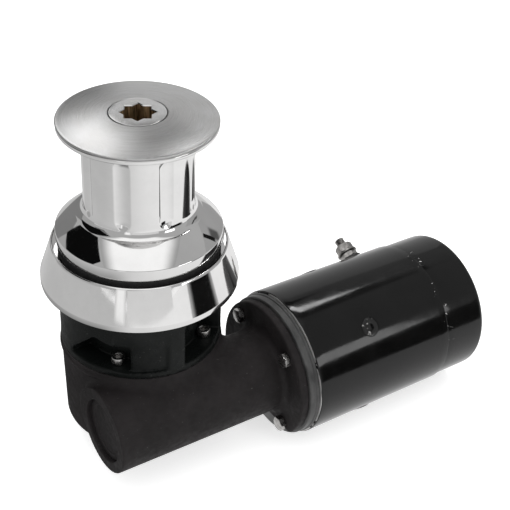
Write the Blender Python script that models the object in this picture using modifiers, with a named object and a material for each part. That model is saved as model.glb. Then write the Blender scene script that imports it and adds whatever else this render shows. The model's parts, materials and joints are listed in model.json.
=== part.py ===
"""Electric vertical capstan for a sailing boat.

A chromed rope drum stands on a chromed deck flange. Below the deck a worm gearbox turns
the drum's shaft, driven by a direct-current motor that lies along +X.

Frame: the origin is on the drum's axis in the deck plane, the underside of the deck
flange. +Z points up, +X points along the motor. Every number below is in millimetres
and degrees; MM turns a length into Blender's metres.
"""
import math

import bmesh
import bpy
from mathutils import Matrix, Vector

MM = 0.001
GAP = 0.3                        # clearance between neighbouring pieces

# ---- drum, skirt and top works, about the vertical axis ------------------------------
DRUM_R = 38.4                    # rope wall
DRUM_TOP_Z = 122.5               # top face under the cap
UPPER_FLANGE_R = 54.2
UPPER_FILLET_R = 10.5
FOOT_FILLET_R = 8.0
FOOT_Z = 61.0                    # where the rope wall meets its foot fillet
FOOT_SWEEP = 74.0                # degrees of the foot fillet
SKIRT_R = 58.6
SKIRT_TOP_Z = 41.3
SKIRT_BOTTOM_Z = 33.0
SCALLOP_COUNT = 8
SCALLOP_WIDTH = 11.4
SCALLOP_DEPTH = 2.0
SCALLOP_Z = (60.0, 111.5)
HUB_TUBE_R = (22.0, 25.0)        # tube around the clutch nut
HUB_Z = (66.0, 88.0)             # solid hub that the clutch clamps
HUB_BORE_R = 15.3
CLUTCH_SEAT = ((31.0, 50.0), (27.0, 66.0))
CAP_R = 54.4
CAP_EDGE_Z = 122.8
CAP_CROWN_Z = 128.4
NUT_R = 19.5
NUT_TOP_Z = 128.5
NUT_BODY_R = 15.6
NUT_BOTTOM_Z = 92.0
SOCKET_SQUARE = 17.5             # 11/16 in winch-handle square
SOCKET_DEPTH = 21.0
SOCKET_ANGLE = -29.0             # one point of the star, from +X

# ---- deck flange and seal ------------------------------------------------------------
FLANGE_R = 70.7
FLANGE_RIM_H = 4.0
FLANGE_LIP_R = 62.6
FLANGE_LIP_Z = 28.4
FLANGE_BEAD_Z = 30.0
FLANGE_BORE_R = 59.2
SEAL_R = 57.3

# ---- vertical shaft ------------------------------------------------------------------
SHAFT_R = 12.5
SHAFT_TOP_Z = 106.0
SHAFT_THREAD_R = 9.8
SHAFT_FOOT_R = 9.7
SHAFT_BOTTOM_Z = -116.4
SHAFT_COLLAR_Z = (43.0, 46.5)
WHEEL_SHOULDER_Z = -73.7

# ---- gearbox cover -------------------------------------------------------------------
COVER_R = 58.6
COVER_TOP_Z = 8.0
COVER_FLANGE_R = 58.8
POCKET_FLOOR_Z = -46.0
POCKET_ARCH_Z = -21.0
COVER_JOINT_Z = -50.7            # underside of the cover's flange
COVER_SCREW_CIRCLE_R = 48.0
COVER_SCREW_ANGLES = (-138.0, -48.0, 42.0, 132.0)
# each pocket's ends round the cover and its ceiling; the first also has a shallow end
POCKETS = ((-176.0, -127.0, -27.0), (-86.0, -37.0, -12.0), (30.0, 54.0, -27.0), (120.0, 144.0, -27.0))
POCKET_R = 43.0
SHALLOW_POCKET = (-129.0, -97.0, -27.8)
SHALLOW_POCKET_R = 53.3
POCKET_ARCH_ANGLE = -154.0
POCKET_ARCH_R = 10.0

# ---- gearbox housing -----------------------------------------------------------------
POT_R = 58.8
POT_FOOT_R = 57.3
POT_BOTTOM_Z = -120.0
POT_CAVITY_R = 52.0
POT_FLOOR_Z = -108.0
POT_MOUTH_R = 42.0
MOTOR_AXIS_Y = -48.15
MOTOR_AXIS_Z = -88.7
TUBE_R = 32.1                    # worm tube at its open end
TUBE_ROOT_R = 32.7               # worm tube at the motor flange
TUBE_END_X = -58.2
TUBE_BORE_R = 23.6
MOTOR_FLANGE_R = 53.2
MOTOR_FLANGE_X = (77.4, 84.0)
FLANGE_BOLT_CIRCLE_R = 43.8
DIAGONALS = (45.0, 135.0, 225.0, 315.0)

# ---- worm drive ----------------------------------------------------------------------
MODULE = 2.0
WHEEL_TEETH = 38
WORM_PITCH_R = 10.0
WHEEL_FACE = 16.0
WHEEL_HUB_Z = (-102.0, -74.0)
FLANK_ANGLE = 20.0
BACKLASH = 0.4                   # taken off each tooth and off the thread
WORM_THREAD_TURNS = 6            # even, so that a crest faces the wheel's centre
WORM_SHAFT_R = 8.5

# ---- motor ---------------------------------------------------------------------------
MOTOR_R = 57.0
MOTOR_WALL = 5.0
MOTOR_TUBE_X = (92.8, 215.8)
END_CAP_R = 56.0
END_CAP_X = (216.1, 254.2)
REAR_BEARING_POCKET_X = (238.0, 249.0)
POLE_SCREW_X = 146.2
POLE_X = (116.0, 178.0)
POLE_R = (34.0, 51.7)
CORE_R = 33.3
CORE_SLOTS = 15
COMMUTATOR_R = 20.0
COMMUTATOR_X = (194.0, 214.0)
ARMATURE_SHAFT_R = 7.5
BRUSH_ANGLES = (24.0, 114.0)
BRUSH_SIZE = (10.0, 14.0, 17.6)  # across, along the motor, radial
TERMINAL_X = 202.0
TERMINAL_ANGLES = (24.0, -20.0)
STUD_R = 4.0
STUD_TIP_R = 80.8                # from the motor's axis
STUD_HEAD_FLATS = 11.0
STUD_NUT_FLATS = 13.0
STUD_SLEEVE_R = 5.7

LARGE_STEPS = 32                 # sides of the big turned pieces
ROUND_STEPS = 20
SHAFT_STEPS = 16
SMALL_STEPS = 10
THREAD_STEPS = 12                # to each turn of the worm's thread
SMOOTH_ANGLE = math.radians(32)

FINISHES = {
    "chrome": ((0.83, 0.84, 0.86), 0.06, 1.0),
    "satin_steel": ((0.62, 0.62, 0.63), 0.35, 1.0),
    "zinc_steel": ((0.70, 0.70, 0.68), 0.28, 1.0),
    "machined_steel": ((0.50, 0.50, 0.50), 0.35, 1.0),
    "bronze": ((0.55, 0.38, 0.18), 0.35, 1.0),
    "copper": ((0.72, 0.35, 0.20), 0.40, 1.0),
    "carbon": ((0.05, 0.05, 0.05), 0.70, 0.0),
    "cast_black": ((0.030, 0.028, 0.028), 0.55, 0.0),
    "gloss_black": ((0.012, 0.012, 0.013), 0.12, 0.0),
    "rubber": ((0.015, 0.015, 0.015), 0.75, 0.0),
    "insulation": ((0.02, 0.02, 0.02), 0.60, 0.0),
}


# ---- scene, frames and materials -----------------------------------------------------
def clear_scene():
    for old in list(bpy.data.objects):
        bpy.data.objects.remove(old, do_unlink=True)


def new_collection(name):
    collection = bpy.data.collections.new(name)
    bpy.context.scene.collection.children.link(collection)
    return collection


def new_frame(name, matrix):
    """An empty that pieces hang on; its local Z is the axis that they are turned about."""
    empty = bpy.data.objects.new(name, None)
    empty.empty_display_size = 20 * MM
    PARTS.objects.link(empty)
    empty.matrix_world = matrix
    return empty


def paint(name, finish):
    colour, roughness, metallic = FINISHES[finish]
    material = bpy.data.materials.new(name)
    material.use_nodes = True
    shader = material.node_tree.nodes["Principled BSDF"]
    shader.inputs["Base Color"].default_value = (*colour, 1.0)
    shader.inputs["Roughness"].default_value = roughness
    shader.inputs["Metallic"].default_value = metallic
    material.diffuse_color = (*colour, 1.0)
    return material


def radial_matrix(angle, radius, height):
    """Local frame at (radius, angle, height) whose Z points away from the turning axis."""
    turn = Matrix.Rotation(math.radians(angle), 4, "Z")
    tip = Matrix.Rotation(math.radians(90), 4, "Y")
    return turn @ Matrix.Translation(Vector((radius, 0, height)) * MM) @ tip


def at(x, y, z):
    return Matrix.Translation(Vector((x, y, z)) * MM)


def polar(radius, angle, height):
    a = math.radians(angle)
    return at(radius * math.cos(a), radius * math.sin(a), height)


# ---- shapes --------------------------------------------------------------------------
def place(name, mesh, frame, local, finish=None):
    """Link a mesh as a piece with a finish of its own, or as a cutter without one."""
    obj = bpy.data.objects.new(name, mesh)
    if finish is None:
        CUTTERS.objects.link(obj)
        obj.hide_render = True
        obj.display_type = "WIRE"
    else:
        PARTS.objects.link(obj)
        mesh.materials.clear()
        mesh.materials.append(paint(name, finish))
    obj.parent = frame
    obj.matrix_local = local
    return obj


def tidy(mesh):
    """Weld the mesh, drop its slivers and shade it smooth up to the sharp angle."""
    bm = bmesh.new()
    bm.from_mesh(mesh)
    bmesh.ops.remove_doubles(bm, verts=bm.verts, dist=1e-6)
    bmesh.ops.dissolve_degenerate(bm, edges=bm.edges, dist=1e-7)
    bm.to_mesh(mesh)
    bm.free()
    mesh.shade_smooth()
    mesh.set_sharp_from_angle(angle=SMOOTH_ANGLE)
    return mesh


def evaluated_mesh(obj):
    """The mesh that an object's modifiers or curve settings give; the object goes."""
    bpy.context.view_layer.update()
    graph = bpy.context.evaluated_depsgraph_get()
    mesh = bpy.data.meshes.new_from_object(obj.evaluated_get(graph))
    bpy.data.objects.remove(obj, do_unlink=True)
    return mesh


def spun_mesh(profile, steps, lead=0.0, turns=1):
    """Spin a profile of (radius, height) points about Z.

    A profile that starts and ends on the axis is a solid's half outline. Any other is
    closed into a ring. Points run down the outer side and up the inner one.
    """
    points = [Vector((r, 0, z)) * MM for r, z in profile]
    edges = [(i, i + 1) for i in range(len(points) - 1)]
    if profile[0][0] > 0 or profile[-1][0] > 0:
        edges.append((len(points) - 1, 0))
    mesh = bpy.data.meshes.new("profile")
    mesh.from_pydata(points, edges, [])
    obj = bpy.data.objects.new("profile", mesh)
    PARTS.objects.link(obj)
    screw = obj.modifiers.new("Screw", "SCREW")
    screw.axis = "Z"
    screw.angle = math.tau
    screw.steps = steps
    screw.render_steps = steps
    screw.screw_offset = lead * MM
    screw.iterations = turns
    screw.use_merge_vertices = lead == 0.0
    screw.merge_threshold = 1e-6
    return evaluated_mesh(obj)


def turned(name, profile, frame, finish=None, steps=ROUND_STEPS, local=Matrix()):
    return place(name, tidy(spun_mesh(profile, steps)), frame, local, finish)


def prism_mesh(outline, z0, z1, twist=0.0):
    """A flat outline between two heights; the top may be twisted by some degrees."""
    curve = bpy.data.curves.new("outline", "CURVE")
    curve.dimensions = "2D"
    curve.fill_mode = "BOTH"
    curve.extrude = (z1 - z0) / 2 * MM
    spline = curve.splines.new("POLY")
    spline.points.add(len(outline) - 1)
    for point, (x, y) in zip(spline.points, outline):
        point.co = (x * MM, y * MM, 0, 1)
    spline.use_cyclic_u = True
    obj = bpy.data.objects.new("outline", curve)
    PARTS.objects.link(obj)
    mesh = evaluated_mesh(obj)
    for vertex in mesh.vertices:
        share = 0.5 if vertex.co.z > 0 else -0.5
        vertex.co.rotate(Matrix.Rotation(math.radians(twist) * share, 3, "Z"))
    mesh.transform(at(0, 0, (z0 + z1) / 2))
    return mesh


def prism(name, outline, z0, z1, frame, finish=None, twist=0.0, local=Matrix()):
    return place(name, tidy(prism_mesh(outline, z0, z1, twist)), frame, local, finish)


def cylinder(name, radius, z0, z1, frame, finish=None, steps=SMALL_STEPS, local=Matrix()):
    bm = bmesh.new()
    bmesh.ops.create_cone(bm, cap_ends=True, segments=steps, radius1=radius * MM,
                          radius2=radius * MM, depth=(z1 - z0) * MM)
    mesh = bpy.data.meshes.new(name)
    bm.to_mesh(mesh)
    bm.free()
    mesh.transform(at(0, 0, (z0 + z1) / 2))
    mesh.shade_smooth()
    mesh.set_sharp_from_angle(angle=SMOOTH_ANGLE)
    return place(name, mesh, frame, local, finish)


def box(name, low, high, frame, finish=None, local=Matrix()):
    bm = bmesh.new()
    bmesh.ops.create_cube(bm, size=1.0)
    size = Vector(high) - Vector(low)
    middle = (Vector(high) + Vector(low)) / 2
    bmesh.ops.scale(bm, vec=size * MM, verts=bm.verts)
    bmesh.ops.translate(bm, vec=middle * MM, verts=bm.verts)
    mesh = bpy.data.meshes.new(name)
    bm.to_mesh(mesh)
    bm.free()
    return place(name, mesh, frame, local, finish)


def boolean(obj, tool, operation):
    modifier = obj.modifiers.new(tool.name, "BOOLEAN")
    modifier.operation = operation
    modifier.object = tool
    modifier.solver = "EXACT"


def cut(obj, *tools):
    for tool in tools:
        boolean(obj, tool, "DIFFERENCE")


def join(obj, *tools):
    for tool in tools:
        boolean(obj, tool, "UNION")


def arc(centre, radius, start, end, steps):
    """Points on a circle arc in a profile, angles in degrees."""
    angles = [math.radians(start + (end - start) * i / steps) for i in range(steps + 1)]
    return [(centre[0] + radius * math.cos(a), centre[1] + radius * math.sin(a)) for a in angles]


def sector(r0, r1, start, end, steps):
    """Outline of a ring sector, counter-clockwise."""
    outer = arc((0, 0), r1, start, end, steps)
    inner = arc((0, 0), r0, end, start, steps)
    return outer + inner


def ring_profile(r0, r1, z0, z1):
    return [(r0, z1), (r1, z1), (r1, z0), (r0, z0)]


def hexagon(across_flats):
    return arc((0, 0), across_flats / math.sqrt(3), 0, 300, 5)


def bearing_profile(r0, r1, z0, z1):
    """A sealed ball bearing: two races, with the shield sunk between them on one side."""
    race = (r1 - r0) * 0.25
    sink = 0.6
    return [(r0, z1), (r0 + race, z1), (r0 + race, z1 - sink), (r1 - race, z1 - sink),
            (r1 - race, z1), (r1, z1), (r1, z0), (r0, z0)]


# ---- drum, cap and clutch ------------------------------------------------------------
def drum_profile():
    fillet_x = DRUM_R + UPPER_FILLET_R
    flange_under_z = DRUM_TOP_Z - 3.5
    upper_fillet = arc((fillet_x, flange_under_z - UPPER_FILLET_R), UPPER_FILLET_R, 90, 180, 3)
    foot = arc((DRUM_R + FOOT_FILLET_R, FOOT_Z), FOOT_FILLET_R, 180, 180 + FOOT_SWEEP, 3)
    wall = 4.5
    outer = [(UPPER_FLANGE_R - 0.8, DRUM_TOP_Z), (UPPER_FLANGE_R, DRUM_TOP_Z - 0.8),
             (UPPER_FLANGE_R, DRUM_TOP_Z - 1.8), (UPPER_FLANGE_R - 1.0, DRUM_TOP_Z - 2.6)]
    skirt = [(SKIRT_R - 0.8, SKIRT_TOP_Z + 0.8), (SKIRT_R, SKIRT_TOP_Z - 0.5),
             (SKIRT_R - 0.4, SKIRT_BOTTOM_Z + 0.5), (SKIRT_R - 0.9, SKIRT_BOTTOM_Z)]
    inside = [(SKIRT_R - 3.0, SKIRT_BOTTOM_Z), (SKIRT_R - 3.0, SKIRT_TOP_Z - 2.7),
              (DRUM_R + 5.6, SKIRT_TOP_Z + 6.8), (DRUM_R - 1.4, CLUTCH_SEAT[0][1]),
              *CLUTCH_SEAT, (HUB_BORE_R, HUB_Z[0]), (HUB_BORE_R, HUB_Z[1]),
              (HUB_TUBE_R[0], HUB_Z[1]), (HUB_TUBE_R[0], DRUM_TOP_Z),
              (HUB_TUBE_R[1], DRUM_TOP_Z), (HUB_TUBE_R[1], HUB_Z[0] + 8),
              (DRUM_R - wall - 0.5, HUB_Z[0] + 8), (DRUM_R - wall - 0.5, DRUM_TOP_Z)]
    return outer + upper_fillet + foot + skirt + inside


def scallop_cutter(index):
    """An upright capsule whose side leaves a shallow round-ended channel in the wall."""
    half = SCALLOP_WIDTH / 2
    sagitta = DRUM_R - math.sqrt(DRUM_R ** 2 - half ** 2)
    depth = SCALLOP_DEPTH - sagitta
    radius = (half ** 2 + depth ** 2) / (2 * depth)
    top = SCALLOP_Z[1] - half
    bottom = SCALLOP_Z[0] + half
    profile = arc((0, top), radius, 90, 0, 4) + arc((0, bottom), radius, 0, -90, 4)
    profile[0] = (0, top + radius)
    profile[-1] = (0, bottom - radius)
    place_r = DRUM_R - SCALLOP_DEPTH + radius
    return turned(f"scallop_cutter_{index + 1}", profile, DRUM_AXIS, steps=ROUND_STEPS,
                  local=polar(place_r, index * 360 / SCALLOP_COUNT, 0))


def build_drum():
    drum = turned("drum", drum_profile(), DRUM_AXIS, "chrome", steps=LARGE_STEPS)
    cut(drum, *[scallop_cutter(i) for i in range(SCALLOP_COUNT)])
    turned("drum_bush", ring_profile(SHAFT_R + GAP, HUB_BORE_R - GAP, HUB_Z[0] + GAP, HUB_Z[1] - 0.1),
           DRUM_AXIS, "bronze", steps=SHAFT_STEPS)


def build_drum_cap():
    bore = NUT_R + GAP
    edge_top = CAP_EDGE_Z + 1.3
    fall = (CAP_CROWN_Z - edge_top) / ((CAP_R - 0.8) ** 2 - bore ** 2)
    count = 3
    radii = [bore + 0.3 + (CAP_R - 1.1 - bore) * i / count for i in range(count + 1)]
    dome = [(r, CAP_CROWN_Z - fall * (r ** 2 - bore ** 2)) for r in radii]
    register = [(HUB_TUBE_R[1] + 8.0, CAP_EDGE_Z), (HUB_TUBE_R[1] + 8.0, CAP_EDGE_Z - 3.8),
                (HUB_TUBE_R[1] + 0.4, CAP_EDGE_Z - 3.8), (HUB_TUBE_R[1] + 0.4, CAP_EDGE_Z)]
    rim = [(CAP_R, CAP_EDGE_Z + 0.8), (CAP_R - 0.4, CAP_EDGE_Z)]
    bottom = [(bore, CAP_EDGE_Z), (bore, CAP_CROWN_Z - 0.3)]
    turned("drum_cap", dome + rim + register + bottom, DRUM_AXIS, "satin_steel", steps=LARGE_STEPS)


def keyed(name, low, high):
    """A parallel key, and the cutter for its slot, a gap larger all round."""
    box(name, low, high, DRUM_AXIS, "machined_steel")
    return box(f"{name}_cutter", [v - GAP for v in low], [v + GAP for v in high], DRUM_AXIS)


def build_clutch():
    flange_under = CAP_EDGE_Z + 0.1
    nut = turned("clutch_nut",
                 [(0, NUT_TOP_Z), (NUT_R - 0.5, NUT_TOP_Z), (NUT_R, NUT_TOP_Z - 0.5),
                  (NUT_R, flange_under), (NUT_BODY_R, flange_under),
                  (NUT_BODY_R, NUT_BOTTOM_Z), (0, NUT_BOTTOM_Z)],
                 DRUM_AXIS, "chrome", steps=ROUND_STEPS)
    half = SOCKET_SQUARE / 2
    for index, turn in enumerate((0.0, 45.0)):
        cut(nut, box(f"socket_cutter_{index + 1}", (-half, -half, NUT_TOP_Z - SOCKET_DEPTH),
                     (half, half, NUT_TOP_Z + 5), DRUM_AXIS,
                     local=Matrix.Rotation(math.radians(SOCKET_ANGLE + turn), 4, "Z")))
    cut(nut, cylinder("nut_thread_cutter", SHAFT_THREAD_R + GAP, NUT_BOTTOM_Z - 5,
                      NUT_TOP_Z - SOCKET_DEPTH + 2, DRUM_AXIS, steps=SHAFT_STEPS))
    turned("thrust_washer", ring_profile(SHAFT_THREAD_R + 0.5, 19.0, HUB_Z[1] + GAP, NUT_BOTTOM_Z - GAP),
           DRUM_AXIS, "machined_steel", steps=SHAFT_STEPS)
    (low_r, low_z), (high_r, high_z) = CLUTCH_SEAT
    cone = turned("clutch_cone",
                  [(SHAFT_R + GAP, high_z - 0.4), (high_r - GAP, high_z - 0.4),
                   (low_r - 0.5, low_z + 0.3), (low_r - 2.0, SHAFT_COLLAR_Z[1] + GAP),
                   (SHAFT_R + GAP, SHAFT_COLLAR_Z[1] + GAP)],
                  DRUM_AXIS, "bronze", steps=ROUND_STEPS)
    slot = keyed("cone_key", (9.5, -3, 49), (15.5, 3, 63))
    cut(cone, slot)
    return slot


# ---- vertical shaft and its gear -----------------------------------------------------
def build_main_shaft(cone_slot):
    collar_low, collar_high = SHAFT_COLLAR_Z
    profile = [(0, SHAFT_TOP_Z), (SHAFT_THREAD_R - 1, SHAFT_TOP_Z), (SHAFT_THREAD_R, SHAFT_TOP_Z - 1),
               (SHAFT_THREAD_R, HUB_Z[1] - 0.1), (SHAFT_R, HUB_Z[1] - 0.1), (SHAFT_R, collar_high),
               (SHAFT_R + 4.5, collar_high), (SHAFT_R + 4.5, collar_low), (SHAFT_R, collar_low),
               (SHAFT_R, -9.0), (SHAFT_R + 3, -9.0), (SHAFT_R + 3, -14.0), (SHAFT_R, -14.0),
               (SHAFT_R, -60.0), (SHAFT_R + 3.5, -64.0), (SHAFT_R + 3.5, WHEEL_SHOULDER_Z),
               (SHAFT_R, WHEEL_SHOULDER_Z), (SHAFT_R, WHEEL_HUB_Z[0] - 0.3),
               (SHAFT_FOOT_R, WHEEL_HUB_Z[0] - 0.3), (SHAFT_FOOT_R, SHAFT_BOTTOM_Z + 1),
               (SHAFT_FOOT_R - 1, SHAFT_BOTTOM_Z), (0, SHAFT_BOTTOM_Z)]
    shaft = turned("main_shaft", profile, DRUM_AXIS, "machined_steel", steps=SHAFT_STEPS)
    slot = keyed("wheel_key", (9.0, -4.0, -97.8), (16.0, 4.0, -78.2))
    cut(shaft, cone_slot, slot)
    return slot


def tooth_half_widths(offset):
    """Half widths of a tooth at a radius offset from the pitch line."""
    at_pitch = math.pi * MODULE / 2 - BACKLASH
    return at_pitch / 2 - offset * math.tan(math.radians(FLANK_ANGLE))


def wheel_outline():
    pitch_r = MODULE * WHEEL_TEETH / 2
    tip_r = pitch_r + MODULE
    root_r = pitch_r - 1.2 * MODULE
    points = []
    for tooth in range(WHEEL_TEETH):
        middle = math.radians(-90 + (tooth + 0.5) * 360 / WHEEL_TEETH)
        root = tooth_half_widths(-1.2 * MODULE) / root_r
        tip = tooth_half_widths(MODULE) / tip_r
        for radius, angle in ((root_r, middle - root), (tip_r, middle - tip),
                              (tip_r, middle + tip), (root_r, middle + root)):
            points.append((radius * math.cos(angle), radius * math.sin(angle)))
    return points


def build_worm_wheel(key_slot):
    lead_slope = MODULE / (2 * WORM_PITCH_R)
    twist = math.degrees(WHEEL_FACE * lead_slope / (MODULE * WHEEL_TEETH / 2))
    wheel = prism("worm_wheel", wheel_outline(), MOTOR_AXIS_Z - WHEEL_FACE / 2,
                  MOTOR_AXIS_Z + WHEEL_FACE / 2, DRUM_AXIS, "bronze", twist=twist)
    hub = cylinder("wheel_hub_tool", 24.0, *WHEEL_HUB_Z, DRUM_AXIS, steps=SHAFT_STEPS)
    bore = cylinder("wheel_bore_cutter", SHAFT_R + GAP, WHEEL_HUB_Z[0] - 5, WHEEL_HUB_Z[1] + 5,
                    DRUM_AXIS, steps=SHAFT_STEPS)
    join(wheel, hub)
    cut(wheel, bore, key_slot)


def build_shaft_bearings():
    turned("upper_shaft_bearing", bearing_profile(SHAFT_R + GAP, 26.0, -29.3, -14.3), DRUM_AXIS,
           "machined_steel")
    turned("lower_shaft_bearing", bearing_profile(SHAFT_FOOT_R + GAP, 23.5, -116.7, -102.7), DRUM_AXIS,
           "machined_steel")
    turned("shaft_seal", [(SHAFT_R + GAP, -2.5), (16.0, -2.5), (16.0, -0.8), (23.5, -0.8), (23.5, -7.7),
                          (14.5, -7.7), (SHAFT_R + GAP, -5.5)], DRUM_AXIS, "rubber", steps=SHAFT_STEPS)


# ---- deck flange, seal and gearbox cover ---------------------------------------------
def build_deck_flange():
    lip, top = FLANGE_LIP_R, FLANGE_LIP_Z
    ledge = COVER_TOP_Z + GAP
    profile = [(lip - 1.8, top + 0.8), (lip - 1.0, FLANGE_BEAD_Z), (lip - 0.2, top + 1.2),
               (lip, top + 0.5), (lip + 0.3, top), (FLANGE_R - 0.8, FLANGE_RIM_H + 0.6),
               (FLANGE_R, FLANGE_RIM_H), (FLANGE_R, 0.4), (FLANGE_R - 0.4, 0), (FLANGE_BORE_R, 0),
               (FLANGE_BORE_R, ledge), (46, ledge), (46, ledge + 4), (60.5, ledge + 4),
               (57.5, 19.6), (50, 19.6), (50, 23.6), (lip - 1.8, 23.6)]
    turned("deck_flange", profile, DRUM_AXIS, "chrome", steps=LARGE_STEPS)
    turned("skirt_seal", [(52, 32.0), (53, 32.6), (SEAL_R - 0.6, 32.6), (SEAL_R, 32.0),
                          (SEAL_R, 23.9), (52, 23.9)], DRUM_AXIS, "rubber", steps=LARGE_STEPS)


def pocket_cutter(name, inner_r, start, end, ceiling):
    """A ring sector that opens the cover's side above the pocket floor."""
    return prism(name, sector(inner_r, COVER_R + 8, start, end, 3), POCKET_FLOOR_Z, ceiling, DRUM_AXIS)


def pocket_cutters():
    """The four screw pockets, with the first one's arched ceiling and shallow end."""
    cutters = [pocket_cutter(f"pocket_{i + 1}_cutter", POCKET_R, *ends) for i, ends in enumerate(POCKETS)]
    cutters.append(pocket_cutter("shallow_pocket_cutter", SHALLOW_POCKET_R, *SHALLOW_POCKET))
    arch = radial_matrix(POCKET_ARCH_ANGLE, POCKET_R, POCKET_ARCH_Z - POCKET_ARCH_R)
    cutters.append(cylinder("pocket_arch_cutter", POCKET_ARCH_R, 0, COVER_R + 8 - POCKET_R, DRUM_AXIS,
                            local=arch))
    return cutters


def build_gearbox_cover():
    spigot_r = 53.0
    profile = [(COVER_R - 0.6, COVER_TOP_Z), (COVER_R, COVER_TOP_Z - 0.6), (COVER_R, POCKET_FLOOR_Z),
               (COVER_FLANGE_R, POCKET_FLOOR_Z - 0.4), (COVER_FLANGE_R, COVER_JOINT_Z),
               (spigot_r, COVER_JOINT_Z), (spigot_r, COVER_JOINT_Z - 3.3), (41, COVER_JOINT_Z - 3.3),
               (41, -2), (31, -2), (31, -30), (26.3, -30), (26.3, -14), (20, -14), (20, -8),
               (23.8, -8), (23.8, COVER_TOP_Z)]
    cover = turned("gearbox_cover", profile, DRUM_AXIS, "cast_black", steps=LARGE_STEPS)
    cut(cover, *pocket_cutters())
    return cover


def build_cover_screws(cover, housing):
    head_top = -40.2
    seat = POCKET_FLOOR_Z + GAP
    tip = -63.5
    for index, angle in enumerate(COVER_SCREW_ANGLES):
        where = polar(COVER_SCREW_CIRCLE_R, angle, 0)
        screw = turned(f"cover_screw_{index + 1}",
                       [(0, head_top), (4.5, head_top), (5.0, head_top - 0.5), (5.0, seat),
                        (3.0, seat), (3.0, tip + 0.8), (2.2, tip), (0, tip)],
                       DRUM_AXIS, "zinc_steel", steps=SMALL_STEPS, local=where)
        cut(screw, prism(f"cover_screw_socket_{index + 1}", hexagon(5.0), head_top - 3.2,
                         head_top + 2, DRUM_AXIS, local=where))
        hole = cylinder(f"cover_screw_hole_{index + 1}", 3.0 + GAP, tip - 0.5, seat + 2, DRUM_AXIS,
                        steps=10, local=where)
        cut(cover, hole)
        cut(housing, hole)


# ---- gearbox housing -----------------------------------------------------------------
def build_gearbox_housing():
    pot_top = COVER_JOINT_Z - GAP
    housing = turned("gearbox_housing",
                     [(0, pot_top), (POT_R, pot_top), (POT_R, -55), (POT_FOOT_R, POT_BOTTOM_Z + 3.5),
                      (POT_FOOT_R - 0.8, POT_BOTTOM_Z + 1.1), (POT_FOOT_R - 2.7, POT_BOTTOM_Z),
                      (0, POT_BOTTOM_Z)], DRUM_AXIS, "cast_black", steps=LARGE_STEPS)
    face, back = MOTOR_FLANGE_X
    flare = 5.0
    fillet = arc((TUBE_ROOT_R + flare, face - flare), flare, 180, 90, 3)
    tube = turned("worm_tube_tool",
                  [(0, back), (MOTOR_FLANGE_R, back), (MOTOR_FLANGE_R, face + 1.6),
                   (MOTOR_FLANGE_R - 1.6, face), *reversed(fillet), (TUBE_R, TUBE_END_X + 0.8),
                   (TUBE_R - 0.8, TUBE_END_X), (0, TUBE_END_X)], MOTOR_AXIS, steps=LARGE_STEPS)
    bore = turned("worm_bore_cutter",
                  [(0, back + 5), (32.3, back + 5), (32.3, back - 3), (26, back - 3), (26, 55),
                   (TUBE_BORE_R, 55), (TUBE_BORE_R, TUBE_END_X - 5), (0, TUBE_END_X - 5)],
                  MOTOR_AXIS, steps=LARGE_STEPS)
    cavity = turned("pot_cavity_cutter",
                    [(0, pot_top + 5), (53.3, pot_top + 5), (53.3, pot_top - 3.3),
                     (POT_MOUTH_R, pot_top - 3.3), (POT_MOUTH_R, -66), (POT_CAVITY_R, -66),
                     (POT_CAVITY_R, POT_FLOOR_Z), (23.8, POT_FLOOR_Z), (23.8, POT_FLOOR_Z - 9),
                     (0, POT_FLOOR_Z - 9)], DRUM_AXIS, steps=LARGE_STEPS)
    join(housing, tube)
    cut(housing, bore, cavity)
    turned("worm_end_cap",
           [(0, TUBE_END_X + 7.2), (TUBE_BORE_R - GAP, TUBE_END_X + 7.2),
            (TUBE_BORE_R - GAP, TUBE_END_X + 3.4), (TUBE_BORE_R - 0.7, TUBE_END_X + 3.0),
            (0, TUBE_END_X + 3.0)],
           MOTOR_AXIS, "cast_black")
    return housing


def build_flange_bolts(housing, shield):
    seat = MOTOR_FLANGE_X[0] - GAP
    tip = 91.5
    for index, angle in enumerate(DIAGONALS):
        where = polar(FLANGE_BOLT_CIRCLE_R, angle, 0)
        bolt = prism(f"flange_bolt_{index + 1}", hexagon(10.0), seat - 4.2, seat, MOTOR_AXIS,
                     "zinc_steel", local=where)
        join(bolt, cylinder(f"flange_bolt_shank_{index + 1}", 3.0, seat - 1, tip, MOTOR_AXIS,
                            steps=10, local=where))
        hole = cylinder(f"flange_bolt_hole_{index + 1}", 3.0 + GAP, seat - 2, tip + 4, MOTOR_AXIS,
                        steps=10, local=where)
        cut(housing, hole)
        cut(shield, hole)


# ---- worm ----------------------------------------------------------------------------
def thread_mesh():
    """One helical ridge, a trapezoid swept with the Screw modifier and capped."""
    lead = math.pi * MODULE
    core_r = WORM_PITCH_R - 1.2 * MODULE
    root, tip = tooth_half_widths(-1.2 * MODULE - 0.4), tooth_half_widths(MODULE)
    start = -WORM_THREAD_TURNS * lead / 2
    profile = [(core_r - 0.4, start + root), (WORM_PITCH_R + MODULE, start + tip),
               (WORM_PITCH_R + MODULE, start - tip), (core_r - 0.4, start - root)]
    mesh = spun_mesh(profile, THREAD_STEPS, lead, WORM_THREAD_TURNS)
    bm = bmesh.new()
    bm.from_mesh(mesh)
    bmesh.ops.holes_fill(bm, edges=bm.edges, sides=8)
    bmesh.ops.recalc_face_normals(bm, faces=bm.faces)
    bm.to_mesh(mesh)
    bm.free()
    return mesh


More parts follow.
